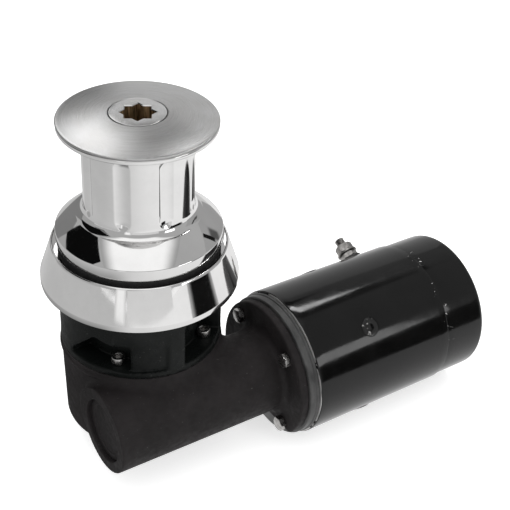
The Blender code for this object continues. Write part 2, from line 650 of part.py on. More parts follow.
def build_worm():
    core_r = WORM_PITCH_R - 1.2 * MODULE
    half = WORM_THREAD_TURNS * math.pi * MODULE / 2 + 3
    worm = turned("worm_shaft",
                  [(0, 68.7), (WORM_SHAFT_R, 68.7), (WORM_SHAFT_R, 36.0), (11.0, 36.0), (11.0, half + 3),
                   (core_r, half), (core_r, -half), (11.0, -half - 3), (11.0, -36.4),
                   (WORM_SHAFT_R, -36.4), (WORM_SHAFT_R, -49.8), (0, -49.8)],
                  MOTOR_AXIS, "machined_steel", steps=SHAFT_STEPS)
    join(worm, place("worm_thread_tool", thread_mesh(), MOTOR_AXIS, Matrix()))
    outer_r = TUBE_BORE_R - GAP
    turned("outer_worm_bearing", bearing_profile(WORM_SHAFT_R + GAP, outer_r, -50.7, -36.7),
           MOTOR_AXIS, "machined_steel")
    turned("inner_worm_bearing", bearing_profile(WORM_SHAFT_R + GAP, outer_r, 36.3, 50.3),
           MOTOR_AXIS, "machined_steel")
    turned("shaft_coupling", ring_profile(WORM_SHAFT_R + GAP, 14.0, 57.0, 80.5), MOTOR_AXIS,
           "machined_steel", steps=SHAFT_STEPS)


# ---- motor ---------------------------------------------------------------------------
def build_motor_shells():
    front = MOTOR_TUBE_X[0]
    inner_r = MOTOR_R - MOTOR_WALL
    shield = turned("motor_front_shield",
                    [(17.8, 99.0), (24.0, 99.0), (24.0, 95.5), (46.0, 95.5), (46.0, 98.0),
                     (inner_r - GAP, 98.0), (inner_r - GAP, front - 0.4), (55.5, front - 0.4),
                     (55.5, 88.8), (54.0, 88.4), (54.0, 84.9), (53.4, MOTOR_FLANGE_X[1] + GAP),
                     (32.0, MOTOR_FLANGE_X[1] + GAP), (32.0, 81.3), (9.5, 81.3), (9.5, 88.2),
                     (17.8, 88.2)],
                    MOTOR_AXIS, "gloss_black", steps=LARGE_STEPS)
    rear = MOTOR_TUBE_X[1]
    tube = turned("motor_tube",
                  [(inner_r, rear), (MOTOR_R - 0.5, rear), (MOTOR_R, rear - 0.5), (MOTOR_R, front + 1.4),
                   (MOTOR_R - 1.4, front), (inner_r, front)],
                  MOTOR_AXIS, "gloss_black", steps=LARGE_STEPS)
    start, end = END_CAP_X
    pocket_low, pocket_high = REAR_BEARING_POCKET_X
    corner = 4.5
    turned("motor_end_cap",
           [(0, end), *arc((END_CAP_R - corner, end - corner), corner, 90, 0, 3), (END_CAP_R, start + 0.4),
            (END_CAP_R - 0.4, start), (inner_r - GAP, start), (inner_r - GAP, start - 4.5),
            (48.0, start - 4.5), (48.0, end - 5), (21.0, end - 5), (21.0, pocket_low), (16.3, pocket_low),
            (16.3, pocket_high), (0, pocket_high)],
           MOTOR_AXIS, "gloss_black", steps=LARGE_STEPS)
    return shield, tube


def build_pole_set(tube):
    """Four pole shoes with their screws, and the winding that wraps round all of them."""
    winding = turned("field_winding", ring_profile(38.0, 51.5, POLE_X[0] - 12, POLE_X[1] + 12),
                     MOTOR_AXIS, "copper")
    for index, angle in enumerate(DIAGONALS):
        shoe = prism(f"pole_shoe_{index + 1}", sector(*POLE_R, angle - 29, angle + 29, 4),
                     *POLE_X, MOTOR_AXIS, "machined_steel")
        cut(winding, prism(f"winding_window_{index + 1}", sector(20, 70, angle - 31, angle + 31, 1),
                           POLE_X[0] - GAP, POLE_X[1] + GAP, MOTOR_AXIS))
        where = radial_matrix(angle, 0, POLE_SCREW_X)
        screw = turned(f"pole_screw_{index + 1}",
                       [(0, MOTOR_R + 0.2), (6.6, MOTOR_R + 0.2), (7.0, MOTOR_R - 0.2),
                        (7.0, MOTOR_R - 2.2), (4.0, MOTOR_R - 2.2), (4.0, 42.0), (0, 42.0)],
                       MOTOR_AXIS, "gloss_black", steps=SMALL_STEPS, local=where)
        cut(screw, prism(f"pole_screw_socket_{index + 1}", hexagon(6.0), MOTOR_R - 2.0, MOTOR_R + 3,
                         MOTOR_AXIS, local=where))
        seat = turned(f"pole_screw_seat_{index + 1}",
                      [(0, MOTOR_R + 5), (7.0 + GAP, MOTOR_R + 5), (7.0 + GAP, MOTOR_R - 2.5),
                       (4.0 + GAP, MOTOR_R - 2.5), (4.0 + GAP, 41.5), (0, 41.5)],
                      MOTOR_AXIS, steps=SMALL_STEPS, local=where)
        cut(tube, seat)
        cut(shoe, seat)


def core_outline():
    """Round core with one narrow slot for each coil side."""
    points = []
    pitch = 360 / CORE_SLOTS
    for slot in range(CORE_SLOTS):
        start = slot * pitch
        points += arc((0, 0), CORE_R, start + 3.2, start + pitch - 3.2, 1)
        points += arc((0, 0), CORE_R - 8, start + pitch - 3.6, start + pitch + 3.6, 1)
    return points


def build_armature():
    bore = ARMATURE_SHAFT_R + GAP
    core = prism("armature_core", core_outline(), POLE_X[0] + 1, POLE_X[1] - 1, MOTOR_AXIS, "copper")
    for name, z0, z1 in (("front_coils_tool", POLE_X[0] - 10, POLE_X[0] + 2),
                         ("rear_coils_tool", POLE_X[1] - 2, POLE_X[1] + 10)):
        join(core, cylinder(name, 24.5, z0, z1, MOTOR_AXIS, steps=SHAFT_STEPS))
    cut(core, cylinder("core_bore_cutter", bore, 90, 200, MOTOR_AXIS, steps=SHAFT_STEPS))
    front, rear = COMMUTATOR_X
    riser = 1.5
    turned("commutator",
           [(bore, rear), (COMMUTATOR_R, rear), (COMMUTATOR_R, front + riser),
            (COMMUTATOR_R + 2, front + riser), (COMMUTATOR_R + 2, front), (bore, front)],
           MOTOR_AXIS, "copper", steps=SHAFT_STEPS)
    turned("armature_shaft",
           [(0, 248.6), (ARMATURE_SHAFT_R, 248.6), (ARMATURE_SHAFT_R, 84.0), (WORM_SHAFT_R, 84.0),
            (WORM_SHAFT_R, 69.0), (0, 69.0)], MOTOR_AXIS, "machined_steel", steps=SHAFT_STEPS)
    turned("motor_front_bearing", bearing_profile(bore, 17.5, 88.5, 98.7), MOTOR_AXIS,
           "machined_steel", steps=SHAFT_STEPS)
    turned("motor_rear_bearing", bearing_profile(bore, 16.0, 238.3, 248.3), MOTOR_AXIS,
           "machined_steel", steps=SHAFT_STEPS)


def build_brush_gear():
    plate_z = (190.5, 193.5)
    holder = turned("brush_holder", ring_profile(24.0, 51.5, *plate_z), MOTOR_AXIS, "insulation",
                    steps=ROUND_STEPS)
    across, along, radial = BRUSH_SIZE
    start = COMMUTATOR_R + GAP
    middle = 204.0
    wall = 1.6
    for index, angle in enumerate(BRUSH_ANGLES):
        where = Matrix.Rotation(math.radians(angle), 4, "Z")
        low = Vector((start, -across / 2, middle - along / 2))
        high = Vector((start + radial, across / 2, middle + along / 2))
        slack = Vector((0, GAP, GAP))
        guide = box(f"brush_guide_tool_{index + 1}", (24.5, low.y - GAP - wall, plate_z[1] - 1),
                    (42.0, high.y + GAP + wall, high.z + GAP + wall), MOTOR_AXIS, local=where)
        slot_low = low - slack
        slot_high = high + slack
        slot = box(f"brush_slot_cutter_{index + 1}", (15, slot_low.y, slot_low.z),
                   (50, slot_high.y, slot_high.z), MOTOR_AXIS, local=where)
        join(holder, guide)
        cut(holder, slot)
        box(f"brush_{index + 1}", low, high, MOTOR_AXIS, "carbon", local=where)


def build_terminals(tube):
    """Battery studs: insulator, stud, clamp nut, washer and top nut on each."""
    for index, angle in enumerate(TERMINAL_ANGLES):
        n = index + 1
        where = radial_matrix(angle, 0, TERMINAL_X)
        turned(f"terminal_insulator_{n}",
               [(STUD_R + GAP, 60.8), (8.4, 60.8), (9.0, 60.2), (9.0, MOTOR_R + 2 * GAP),
                (STUD_SLEEVE_R, MOTOR_R + 2 * GAP), (STUD_SLEEVE_R, 50.5), (STUD_R + GAP, 50.5)],
               MOTOR_AXIS, "insulation", steps=SMALL_STEPS, local=where)
        stud = prism(f"terminal_stud_{n}", hexagon(STUD_HEAD_FLATS), 46.5, 50.2, MOTOR_AXIS, "zinc_steel",
                     local=where)
        join(stud, turned(f"stud_shank_tool_{n}",
                          [(0, STUD_TIP_R), (STUD_R - 0.6, STUD_TIP_R), (STUD_R, STUD_TIP_R - 0.6),
                           (STUD_R, 49), (0, 49)], MOTOR_AXIS, steps=SMALL_STEPS, local=where))
        for kind, low, high in (("terminal_nut", 61.1, 65.6), ("terminal_top_nut", 67.7, 74.2)):
            nut = prism(f"{kind}_{n}", hexagon(STUD_NUT_FLATS), low, high, MOTOR_AXIS, "zinc_steel",
                        local=where)
            cut(nut, cylinder(f"{kind}_bore_{n}", STUD_R + GAP, low - 2, high + 2, MOTOR_AXIS,
                              local=where))
        turned(f"terminal_washer_{n}", ring_profile(STUD_R + GAP, 8.6, 65.9, 67.4), MOTOR_AXIS,
               "zinc_steel", steps=SMALL_STEPS, local=where)
        cut(tube, cylinder(f"terminal_hole_{n}", STUD_SLEEVE_R + GAP, 45, 65, MOTOR_AXIS, local=where))


def build_capstan():
    build_drum()
    build_drum_cap()
    cone_slot = build_clutch()
    wheel_slot = build_main_shaft(cone_slot)
    build_worm_wheel(wheel_slot)
    build_shaft_bearings()
    build_deck_flange()
    cover = build_gearbox_cover()
    housing = build_gearbox_housing()
    build_cover_screws(cover, housing)
    build_worm()
    shield, tube = build_motor_shells()
    build_flange_bolts(housing, shield)
    build_pole_set(tube)
    build_armature()
    build_brush_gear()
    build_terminals(tube)


clear_scene()
PARTS = new_collection("electric_capstan")
CUTTERS = new_collection("cutters")
DRUM_AXIS = new_frame("drum_axis", Matrix())
# Local X, Y and Z of the motor's frame are world Y, Z and X.
MOTOR_AXIS = new_frame("motor_axis", at(0, MOTOR_AXIS_Y, MOTOR_AXIS_Z)
                       @ Matrix(((0, 0, 1, 0), (1, 0, 0, 0), (0, 1, 0, 0), (0, 0, 0, 1))))
build_capstan()
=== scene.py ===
import json
import math

import bmesh
import bpy
import numpy as np
from mathutils import Matrix, Vector

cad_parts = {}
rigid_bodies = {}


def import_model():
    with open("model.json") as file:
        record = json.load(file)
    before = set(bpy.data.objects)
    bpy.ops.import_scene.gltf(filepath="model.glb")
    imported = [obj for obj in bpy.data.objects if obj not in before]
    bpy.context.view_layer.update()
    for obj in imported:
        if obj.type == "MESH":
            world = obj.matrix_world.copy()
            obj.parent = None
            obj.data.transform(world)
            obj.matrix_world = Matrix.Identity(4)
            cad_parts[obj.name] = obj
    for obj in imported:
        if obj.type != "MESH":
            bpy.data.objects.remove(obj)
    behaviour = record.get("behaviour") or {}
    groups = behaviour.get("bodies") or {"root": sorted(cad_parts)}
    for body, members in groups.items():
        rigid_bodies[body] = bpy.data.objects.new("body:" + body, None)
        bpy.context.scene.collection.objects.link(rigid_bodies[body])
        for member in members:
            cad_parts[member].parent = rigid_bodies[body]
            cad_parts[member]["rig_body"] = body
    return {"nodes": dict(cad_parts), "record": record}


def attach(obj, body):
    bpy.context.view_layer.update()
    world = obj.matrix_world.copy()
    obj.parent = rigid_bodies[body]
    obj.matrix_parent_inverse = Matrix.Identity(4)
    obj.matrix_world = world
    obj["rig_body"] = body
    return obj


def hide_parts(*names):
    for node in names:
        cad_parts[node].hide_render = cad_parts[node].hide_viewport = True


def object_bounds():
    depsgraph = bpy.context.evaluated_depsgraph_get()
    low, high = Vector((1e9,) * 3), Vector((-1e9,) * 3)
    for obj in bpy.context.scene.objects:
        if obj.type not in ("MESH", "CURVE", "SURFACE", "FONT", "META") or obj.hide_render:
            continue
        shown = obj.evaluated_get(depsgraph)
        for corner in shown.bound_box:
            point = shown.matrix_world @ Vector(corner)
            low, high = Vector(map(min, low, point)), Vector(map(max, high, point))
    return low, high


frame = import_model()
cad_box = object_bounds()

# Electric capstan for a sailing boat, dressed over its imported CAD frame. Lengths are in
# millimetres and angles in degrees until a mesh is placed. The drum's axis is Z at the
# origin; the motor's axis runs along +X.

MM = 0.001
DRUM_AXIS = Matrix.Identity(4)
MOTOR_Y, MOTOR_Z = -48.15, -88.7
# the motor frame's own X, Y and Z are the row frame's Y, Z and X
MOTOR_AXIS = Matrix(((0, 0, 1, 0), (1, 0, 0, MOTOR_Y), (0, 1, 0, MOTOR_Z), (0, 0, 0, 1)))
DIAGONALS = (45.0, 135.0, 225.0, 315.0)

# drum, cap and plug nut
SCALLOPS = 8
SCALLOP_WIDTH = 11.4
SCALLOP_DEPTH = 2.0
SCALLOP_Z = (60.0, 111.5)
DRUM_R = 38.4
SCALLOP_LIP = 0.16
CAP_BORE_R = 19.8
CAP_CROWN_Z = 128.4
CAP_RIM = (53.6, 124.1)          # radius and height
NUT_TOP = 128.5
NUT_HEAD_R = 19.3
NUT_SHANK_R = 15.6
NUT_FOOT_Z = 92.0
SOCKET_SQUARE = 17.5
SOCKET_ANGLE = -29.0
SOCKET_LEAD_IN = 1.4

# gearbox castings
COVER_R = 58.6
COVER_TOP_Z = 8.0
JOINT_Z = -51.0                  # where cover and housing meet
POT_FOOT_Z = -120.0
WORM_TUBE_MOUTH_X = -58.2
FLANGE_FACE_X = 84.0
FLANGE_R = 53.2
FINE_STEP, COARSE_STEP = 1.0, 1.6
SCREW_HOLE_R = 3.3
COVER_SCREW_ANGLES = (-138.0, -48.0, 42.0, 132.0)
COVER_SCREW_R = 48.0
POCKET_FLOOR_Z = -46.0
POCKET_R = 43.0
CREST_ANGLE, CREST_Z = -152.0, -20.0      # the first pocket's highest point
SHALLOW_END_ANGLE, SHALLOW_DEPTH = -97.0, 2.3
PLAIN_POCKETS = ((-86.0, -37.0, -12.0), (30.0, 54.0, -27.0), (120.0, 144.0, -27.0))
FLANGE_BOLT_R = 43.8

# motor; heights of studs and screws are measured from its axis
MOTOR_R = 57.0
TUBE_X = (92.8, 215.8)
END_CAP_X = (216.1, 254.2)
POLE_SCREW_X = 146.2
POLE_SCREW_HEAD_R = 7.0
TERMINAL_X = 202.0
TERMINAL_ANGLES = (24.0, -20.0)
STUD_R = 4.0
STUD_TIP = 80.8
STUD_PITCH, STUD_THREAD_DEPTH = 1.25, 0.55
STUD_HEAD_FLATS, STUD_NUT_FLATS = 11.0, 13.0
STUD_BORE_R = 4.3
STUD_NUTS = (("terminal_nut", 61.1, 65.6), ("terminal_top_nut", 67.7, 74.2))


# ---- profiles and meshes ---------------------------------------------------------------
def arc(centre, radius, start, end, steps):
    angles = [math.radians(start + (end - start) * i / steps) for i in range(steps + 1)]
    return [(centre[0] + radius * math.cos(a), centre[1] + radius * math.sin(a)) for a in angles]


def rounded(points, steps=4):
    """A closed outline whose corners (x, y, radius) are turned into arcs."""
    out = []
    count = len(points)
    for i, point in enumerate(points):
        radius = point[2] if len(point) > 2 else 0.0
        here = Vector(point[:2])
        if radius <= 0:
            out.append(tuple(here))
            continue
        before = Vector(points[i - 1][:2]) - here
        after = Vector(points[(i + 1) % count][:2]) - here
        reach = min(before.length, after.length) * 0.49
        before.normalize()
        after.normalize()
        half = before.angle(after) / 2
        run = min(radius / math.tan(half), reach)
        radius = run * math.tan(half)
        middle = here + (before + after).normalized() * (radius / math.sin(half))
        first = here + before * run - middle
        last = here + after * run - middle
        a0 = math.atan2(first.y, first.x)
        sweep = (math.atan2(last.y, last.x) - a0 + math.pi) % math.tau - math.pi
        for k in range(steps + 1):
            a = a0 + sweep * k / steps
            out.append((middle.x + radius * math.cos(a), middle.y + radius * math.sin(a)))
    return out


def refined(points, longest, low=-1e9, high=1e9):
    """Splits the outline's long runs whose second coordinate lies between low and high."""
    out = []
    for i, (a, b) in enumerate(points):
        c, d = points[(i + 1) % len(points)]
        out.append((a, b))
        if low <= min(b, d) and max(b, d) <= high:
            parts = int(math.hypot(c - a, d - b) / longest)
            shares = [k / (parts + 1) for k in range(1, parts + 1)]
            out += [(a + (c - a) * t, b + (d - b) * t) for t in shares]
    return out


def revolve(points, steps):
    """A closed solid turned about local Z from (radius, height) points."""
    rings, verts = [], []
    for r, z in points:
        if r < 1e-6:
            rings.append([len(verts)])
            verts.append((0.0, 0.0, z))
        else:
            rings.append(list(range(len(verts), len(verts) + steps)))
            verts += [(r * math.cos(math.tau * k / steps), r * math.sin(math.tau * k / steps), z)
                      for k in range(steps)]
    faces = []
    for one, two in zip(rings, rings[1:] + rings[:1]):
        if len(one) == 1 and len(two) == 1:
            continue
        for k in range(steps):
            n = (k + 1) % steps
            if len(one) == 1:
                faces.append((one[0], two[n], two[k]))
            elif len(two) == 1:
                faces.append((one[k], one[n], two[0]))
            else:
                faces.append((one[k], one[n], two[n], two[k]))
    return np.array(verts), faces


def loft(outlines):
    """A closed solid through outlines of equal length, each given as (height, points)."""
    verts, faces = [], []
    n = len(outlines[0][1])
    for z, outline in outlines:
        verts += [(x, y, z) for x, y in outline]
    for level in range(len(outlines) - 1):
        for k in range(n):
            a, b = level * n + k, level * n + (k + 1) % n
            faces.append((a, b, b + n, a + n))
    faces.append(tuple(reversed(range(n))))
    faces.append(tuple(range((len(outlines) - 1) * n, len(outlines) * n)))
    return np.array(verts), faces


def hexagon(across_flats):
    return arc((0, 0), across_flats / math.sqrt(3), 0, 300, 5)


def star(square, turn):
    """The eight-pointed outline of two crossed squares."""
    step = math.radians(22.5)
    tip, root = square / math.sqrt(2), square / 2 / math.cos(step)
    outline = []
    for k in range(16):
        radius = tip if k % 2 == 0 else root
        angle = math.radians(turn) + step * k
        outline.append((radius * math.cos(angle), radius * math.sin(angle)))
    return outline


def radial(angle, height):
    """Local Z points outwards at an angle round the parent axis, at a height along it."""
    a = math.radians(angle)
    out = Vector((math.cos(a), math.sin(a), 0))
    side = Vector((-math.sin(a), math.cos(a), 0))
    m = Matrix((side, Vector((0, 0, 1)), out)).transposed().to_4x4()
    m.translation = (0, 0, height)
    return m


def polar(radius, angle):
    a = math.radians(angle)
    return Matrix.Translation((radius * math.cos(a), radius * math.sin(a), 0)) @ Matrix.Rotation(a, 4, "Z")


def solid(name, shape, axis=DRUM_AXIS, local=Matrix(), sharp=32):
    verts, faces = shape
    mesh = bpy.data.meshes.new(name)
    mesh.from_pydata([tuple(v) for v in verts], [], faces)
    mesh.transform(Matrix.Diagonal((MM, MM, MM, 1)) @ axis @ local)
    obj = bpy.data.objects.new(name, mesh)
    bpy.context.scene.collection.objects.link(obj)
    obj["sharp"] = sharp
    clean(obj)
    return obj


def clean(obj):
    bm = bmesh.new()
    bm.from_mesh(obj.data)
    bmesh.ops.remove_doubles(bm, verts=bm.verts, dist=1e-7)
    bmesh.ops.dissolve_degenerate(bm, edges=bm.edges, dist=1e-7)
    bmesh.ops.recalc_face_normals(bm, faces=bm.faces)
    bm.to_mesh(obj.data)
    bm.free()
    obj.data.shade_smooth()
    obj.data.set_sharp_from_angle(angle=math.radians(obj["sharp"]))


def combine(obj, operation, tools):
    """Applies exact booleans and removes the tools."""
    for tool in tools:
        mod = obj.modifiers.new("op", "BOOLEAN")
        mod.operation = operation
        mod.solver = "EXACT"
        mod.object = tool
    made = bpy.data.meshes.new_from_object(obj.evaluated_get(bpy.context.evaluated_depsgraph_get()))
    obj.modifiers.clear()
    obj.data = made
    obj.data.name = obj.name
    for tool in tools:
        bpy.data.objects.remove(tool)
    clean(obj)


def cut(obj, *tools):
    combine(obj, "DIFFERENCE", tools)


# ---- cast shapes from distance fields --------------------------------------------------
def round_join(a, b, radius):
    """The union of two fields, with a fillet where they meet."""
    corner = np.hypot(np.maximum(radius - a, 0), np.maximum(radius - b, 0))
    return np.maximum(radius, np.minimum(a, b)) - corner


def round_common(a, b, radius):
    """What two fields have in common, with rounded edges."""
    corner = np.hypot(np.maximum(radius + a, 0), np.maximum(radius + b, 0))
    return np.minimum(-radius, np.maximum(a, b)) + corner


def cast_mesh(field, low, high, step):
    """A closed surface net of field(points) = 0, each vertex then drawn onto the surface."""
    axes = [np.arange(a - step, b + 2 * step, step) for a, b in zip(low, high)]
    grid = np.stack(np.meshgrid(*axes, indexing="ij"), -1)
    value = field(grid)
    inside = value < 0
    shape = tuple(n - 1 for n in inside.shape)
    total = np.zeros(shape + (3,))
    count = np.zeros(shape)

    def corner(a, i, j, k):
        return a[i:i + shape[0], j:j + shape[1], k:k + shape[2]]

    for axis in range(3):
        others = [d for d in range(3) if d != axis]
        for u in (0, 1):
            for v in (0, 1):
                start = [0, 0, 0]
                start[others[0]], start[others[1]] = u, v
                end = list(start)
                end[axis] = 1
                va, vb = corner(value, *start), corner(value, *end)
                crossing = (va < 0) != (vb < 0)
                t = np.where(crossing, va / np.where(crossing, va - vb, 1), 0)
                point = np.array(start, float) + t[..., None] * (np.array(end) - np.array(start))
                total += np.where(crossing[..., None], point, 0)
                count += crossing
    active = count > 0
    number = np.full(shape, -1)
    number[active] = np.arange(active.sum())
    cell = np.argwhere(active)
    verts = np.array([a[0] for a in axes]) + (cell + total[active] / count[active][:, None]) * step
    quads = []
    for axis in range(3):
        u, v = [d for d in range(3) if d != axis]
        lower = [slice(1, -1)] * 3
        upper = [slice(1, -1)] * 3
        lower[axis], upper[axis] = slice(0, -1), slice(1, None)
        a, b = inside[tuple(lower)], inside[tuple(upper)]
        base = np.argwhere(a != b)
        flip = b[a != b] if axis != 1 else a[a != b]
        base[:, u] += 1
        base[:, v] += 1
        around = []
        for du, dv in ((-1, -1), (0, -1), (0, 0), (-1, 0)):
            c = base.copy()
            c[:, u] += du
            c[:, v] += dv
            around.append(number[c[:, 0], c[:, 1], c[:, 2]])
        quad = np.stack(around, -1)
        quad[flip] = quad[flip][:, ::-1]
        quads.append(quad)
    e = step * 0.05
    for _ in range(4):
        here = field(verts)
        slope = np.stack([(field(verts + d) - field(verts - d)) / (2 * e) for d in np.eye(3) * e], -1)
        move = here[:, None] * slope / np.maximum((slope ** 2).sum(-1, keepdims=True), 0.2)
        verts = verts - np.clip(move, -step * 0.5, step * 0.5)
    return verts, np.concatenate(quads).tolist()


# ---- materials -------------------------------------------------------------------------
class Paint:
    """A node material, built up from a Principled shader at the object's own coordinates."""

    def __init__(self, name, metallic, **sockets):
        self.material = bpy.data.materials.new(name)
        self.material.use_nodes = True
        self.tree = self.material.node_tree
        self.shader = self.tree.nodes["Principled BSDF"]
        self.shader.inputs["Metallic"].default_value = metallic
        for key, value in sockets.items():
            self.shader.inputs[key.replace("_", " ")].default_value = value
        self.place = self.tree.nodes.new("ShaderNodeTexCoord").outputs["Object"]

    def node(self, kind, **inputs):
        made = self.tree.nodes.new(kind)
        for key, value in inputs.items():
            self.feed(made.inputs[key], value)
        return made

    def feed(self, socket, value):
        if isinstance(value, bpy.types.NodeSocket):
            self.tree.links.new(value, socket)
        else:
            socket.default_value = value

    def math(self, operation, a, b=0.0, clamp=False):
        made = self.tree.nodes.new("ShaderNodeMath")
        made.operation = operation
        made.use_clamp = clamp
        self.feed(made.inputs[0], a)
        self.feed(made.inputs[1], b)
        return made.outputs[0]

    def noise(self, scale, detail=3.0, roughness=0.55, stretch=(1, 1, 1), place=None):
        where = self.tree.nodes.new("ShaderNodeMapping")
        self.feed(where.inputs["Vector"], place or self.place)
        where.inputs["Scale"].default_value = stretch
        made = self.node("ShaderNodeTexNoise", Vector=where.outputs[0], Scale=scale, Detail=detail,
                         Roughness=roughness)
        return made.outputs["Fac"]

    def between(self, value, low, high, out_low, out_high, smooth=True):
        made = self.tree.nodes.new("ShaderNodeMapRange")
        made.interpolation_type = "SMOOTHSTEP" if smooth else "LINEAR"
        for socket, v in zip(made.inputs, (value, low, high, out_low, out_high)):
            self.feed(socket, v)
        return made.outputs[0]

    def colours(self, factor, one, two):
        made = self.tree.nodes.new("ShaderNodeMix")
        made.data_type = "RGBA"
        self.feed(made.inputs["Factor"], factor)
        self.feed(made.inputs["A"], one)
        self.feed(made.inputs["B"], two)
        return made.outputs["Result"]

    def base(self, value):
        self.feed(self.shader.inputs["Base Color"], value)

    def rough(self, value):
        self.feed(self.shader.inputs["Roughness"], value)

    def bump(self, height, distance, strength=1.0):
        made = self.node("ShaderNodeBump", Height=height)
        made.inputs["Distance"].default_value = distance
        made.inputs["Strength"].default_value = strength
        if self.shader.inputs["Normal"].is_linked:
            self.feed(made.inputs["Normal"], self.shader.inputs["Normal"].links[0].from_socket)
        self.feed(self.shader.inputs["Normal"], made.outputs[0])

    def apart(self):
        made = self.node("ShaderNodeSeparateXYZ", Vector=self.place)
        return made.outputs

    def radius_xy(self):
        made = self.tree.nodes.new("ShaderNodeVectorMath")
        made.operation = "MULTIPLY"
        self.feed(made.inputs[0], self.place)
        made.inputs[1].default_value = (1, 1, 0)
        length = self.tree.nodes.new("ShaderNodeVectorMath")
        length.operation = "LENGTH"
        self.feed(length.inputs[0], made.outputs[0])
        return length.outputs["Value"]


def grey(v, warm=0.0):
    return (v * (1 + warm), v, v * (1 - warm), 1.0)


def chrome():
    p = Paint("chrome_polished", 1.0)
    smear = p.noise(38, 5, 0.6)
    p.base(p.colours(p.between(smear, 0.35, 0.7, 0, 1), grey(0.77, 0.006), grey(0.72, 0.006)))
    p.rough(p.between(p.noise(90, 6, 0.65), 0.3, 0.75, 0.03, 0.085))
    p.bump(p.noise(16, 1), 0.0002, 0.10)
    return p.material


def satin_steel():
    p = Paint("satin_turned_steel", 1.0, Anisotropic=0.35)
    tangent = p.tree.nodes.new("ShaderNodeTangent")
    tangent.direction_type = "RADIAL"
    tangent.axis = "Z"
    p.feed(p.shader.inputs["Tangent"], tangent.outputs[0])
    r = p.radius_xy()
    ring = p.node("ShaderNodeCombineXYZ", X=r).outputs[0]
    lines = p.noise(5200, 2, 0.7, place=ring)
    blotch = p.noise(45, 4, 0.6)
    p.base(p.colours(p.between(blotch, 0.3, 0.7, 0, 1), grey(0.52), grey(0.46, 0.01)))
    p.rough(p.between(lines, 0.25, 0.75, 0.25, 0.31))
    p.bump(lines, 0.00001, 0.15)
    return p.material


def plug_steel():
    p = Paint("bright_plug_steel", 1.0)
    p.base(p.colours(p.between(p.noise(60, 4, 0.6), 0.3, 0.7, 0, 1), grey(0.66), grey(0.58, 0.01)))
    p.rough(p.between(p.noise(140, 4), 0.3, 0.7, 0.14, 0.24))
    p.bump(p.noise(600, 2), 0.00002, 0.2)
    return p.material


def aged_bronze():
    p = Paint("aged_bronze", 0.85)
    streak = p.noise(520, 4, 0.65, stretch=(1, 1, 0.12))
    p.base(p.colours(p.between(streak, 0.35, 0.68, 0, 1), (0.13, 0.085, 0.045, 1), (0.60, 0.43, 0.25, 1)))
    p.rough(p.between(streak, 0.3, 0.7, 0.3, 0.5))
    p.bump(streak, 0.0001, 0.4)
    return p.material


def dull_steel():
    p = Paint("dull_steel", 1.0)
    stain = p.noise(300, 5, 0.6)
    p.base(p.colours(p.between(stain, 0.3, 0.7, 0, 1), grey(0.40, 0.03), grey(0.22, 0.04)))
    p.rough(p.between(stain, 0.3, 0.7, 0.22, 0.40))
    p.bump(p.noise(900, 3), 0.00003, 0.3)
    return p.material


def zinc_steel():
    p = Paint("zinc_plated_steel", 1.0)
    p.base(p.colours(p.between(p.noise(260, 4), 0.35, 0.7, 0, 1), grey(0.50, 0.02), grey(0.30, 0.03)))
    p.rough(p.between(p.noise(700, 3), 0.3, 0.7, 0.18, 0.38))
    p.bump(p.noise(900, 3), 0.00006, 0.3)
    return p.material


def machined_steel():
    p = Paint("machined_steel", 1.0)
    ring = p.node("ShaderNodeCombineXYZ", X=p.radius_xy(), Y=p.apart()[2]).outputs[0]
    lines = p.noise(2600, 2, 0.6, place=ring)
    p.base(p.colours(p.between(p.noise(120, 4), 0.35, 0.7, 0, 1), grey(0.52, 0.01), grey(0.36, 0.03)))
    p.rough(p.between(lines, 0.3, 0.7, 0.25, 0.45))
    p.bump(lines, 0.00003, 0.4)
    return p.material


def bronze():
    p = Paint("bronze", 1.0)
    stain = p.between(p.noise(150, 5), 0.3, 0.7, 0, 1)
    p.base(p.colours(stain, (0.52, 0.33, 0.15, 1), (0.33, 0.20, 0.09, 1)))
    p.rough(p.between(p.noise(420, 4), 0.3, 0.7, 0.28, 0.5))
    p.bump(p.noise(1500, 3), 0.00004, 0.4)
    return p.material


def copper():
    p = Paint("copper_winding", 1.0)
    turns = p.noise(900, 1, 0.4, stretch=(1, 0.15, 0.15))
    p.base(p.colours(p.between(turns, 0.4, 0.6, 0, 1), (0.55, 0.23, 0.10, 1), (0.32, 0.11, 0.05, 1)))
    p.rough(p.between(turns, 0.3, 0.7, 0.3, 0.5))
    p.bump(turns, 0.0004, 0.6)
    return p.material


def cast_black(name, base, worn, rough_low, rough_high, specular):
    p = Paint(name, 0.0, Specular_IOR_Level=specular)
    cloud = p.noise(30, 5, 0.6)
    grain = p.noise(1300, 3, 0.6)
    speck = p.between(p.noise(520, 2, 0.5), 0.70, 0.76, 0, 1)
    tone = p.colours(p.between(cloud, 0.3, 0.72, 0, 1), base, worn)
    p.base(p.colours(p.math("MULTIPLY", speck, 0.35), tone, grey(0.10, 0.02)))
    p.rough(p.between(p.noise(200, 4), 0.3, 0.7, rough_low, rough_high))
    p.bump(p.noise(160, 3), 0.0004, 0.14)
    p.bump(grain, 0.00022, 0.32)
    return p.material


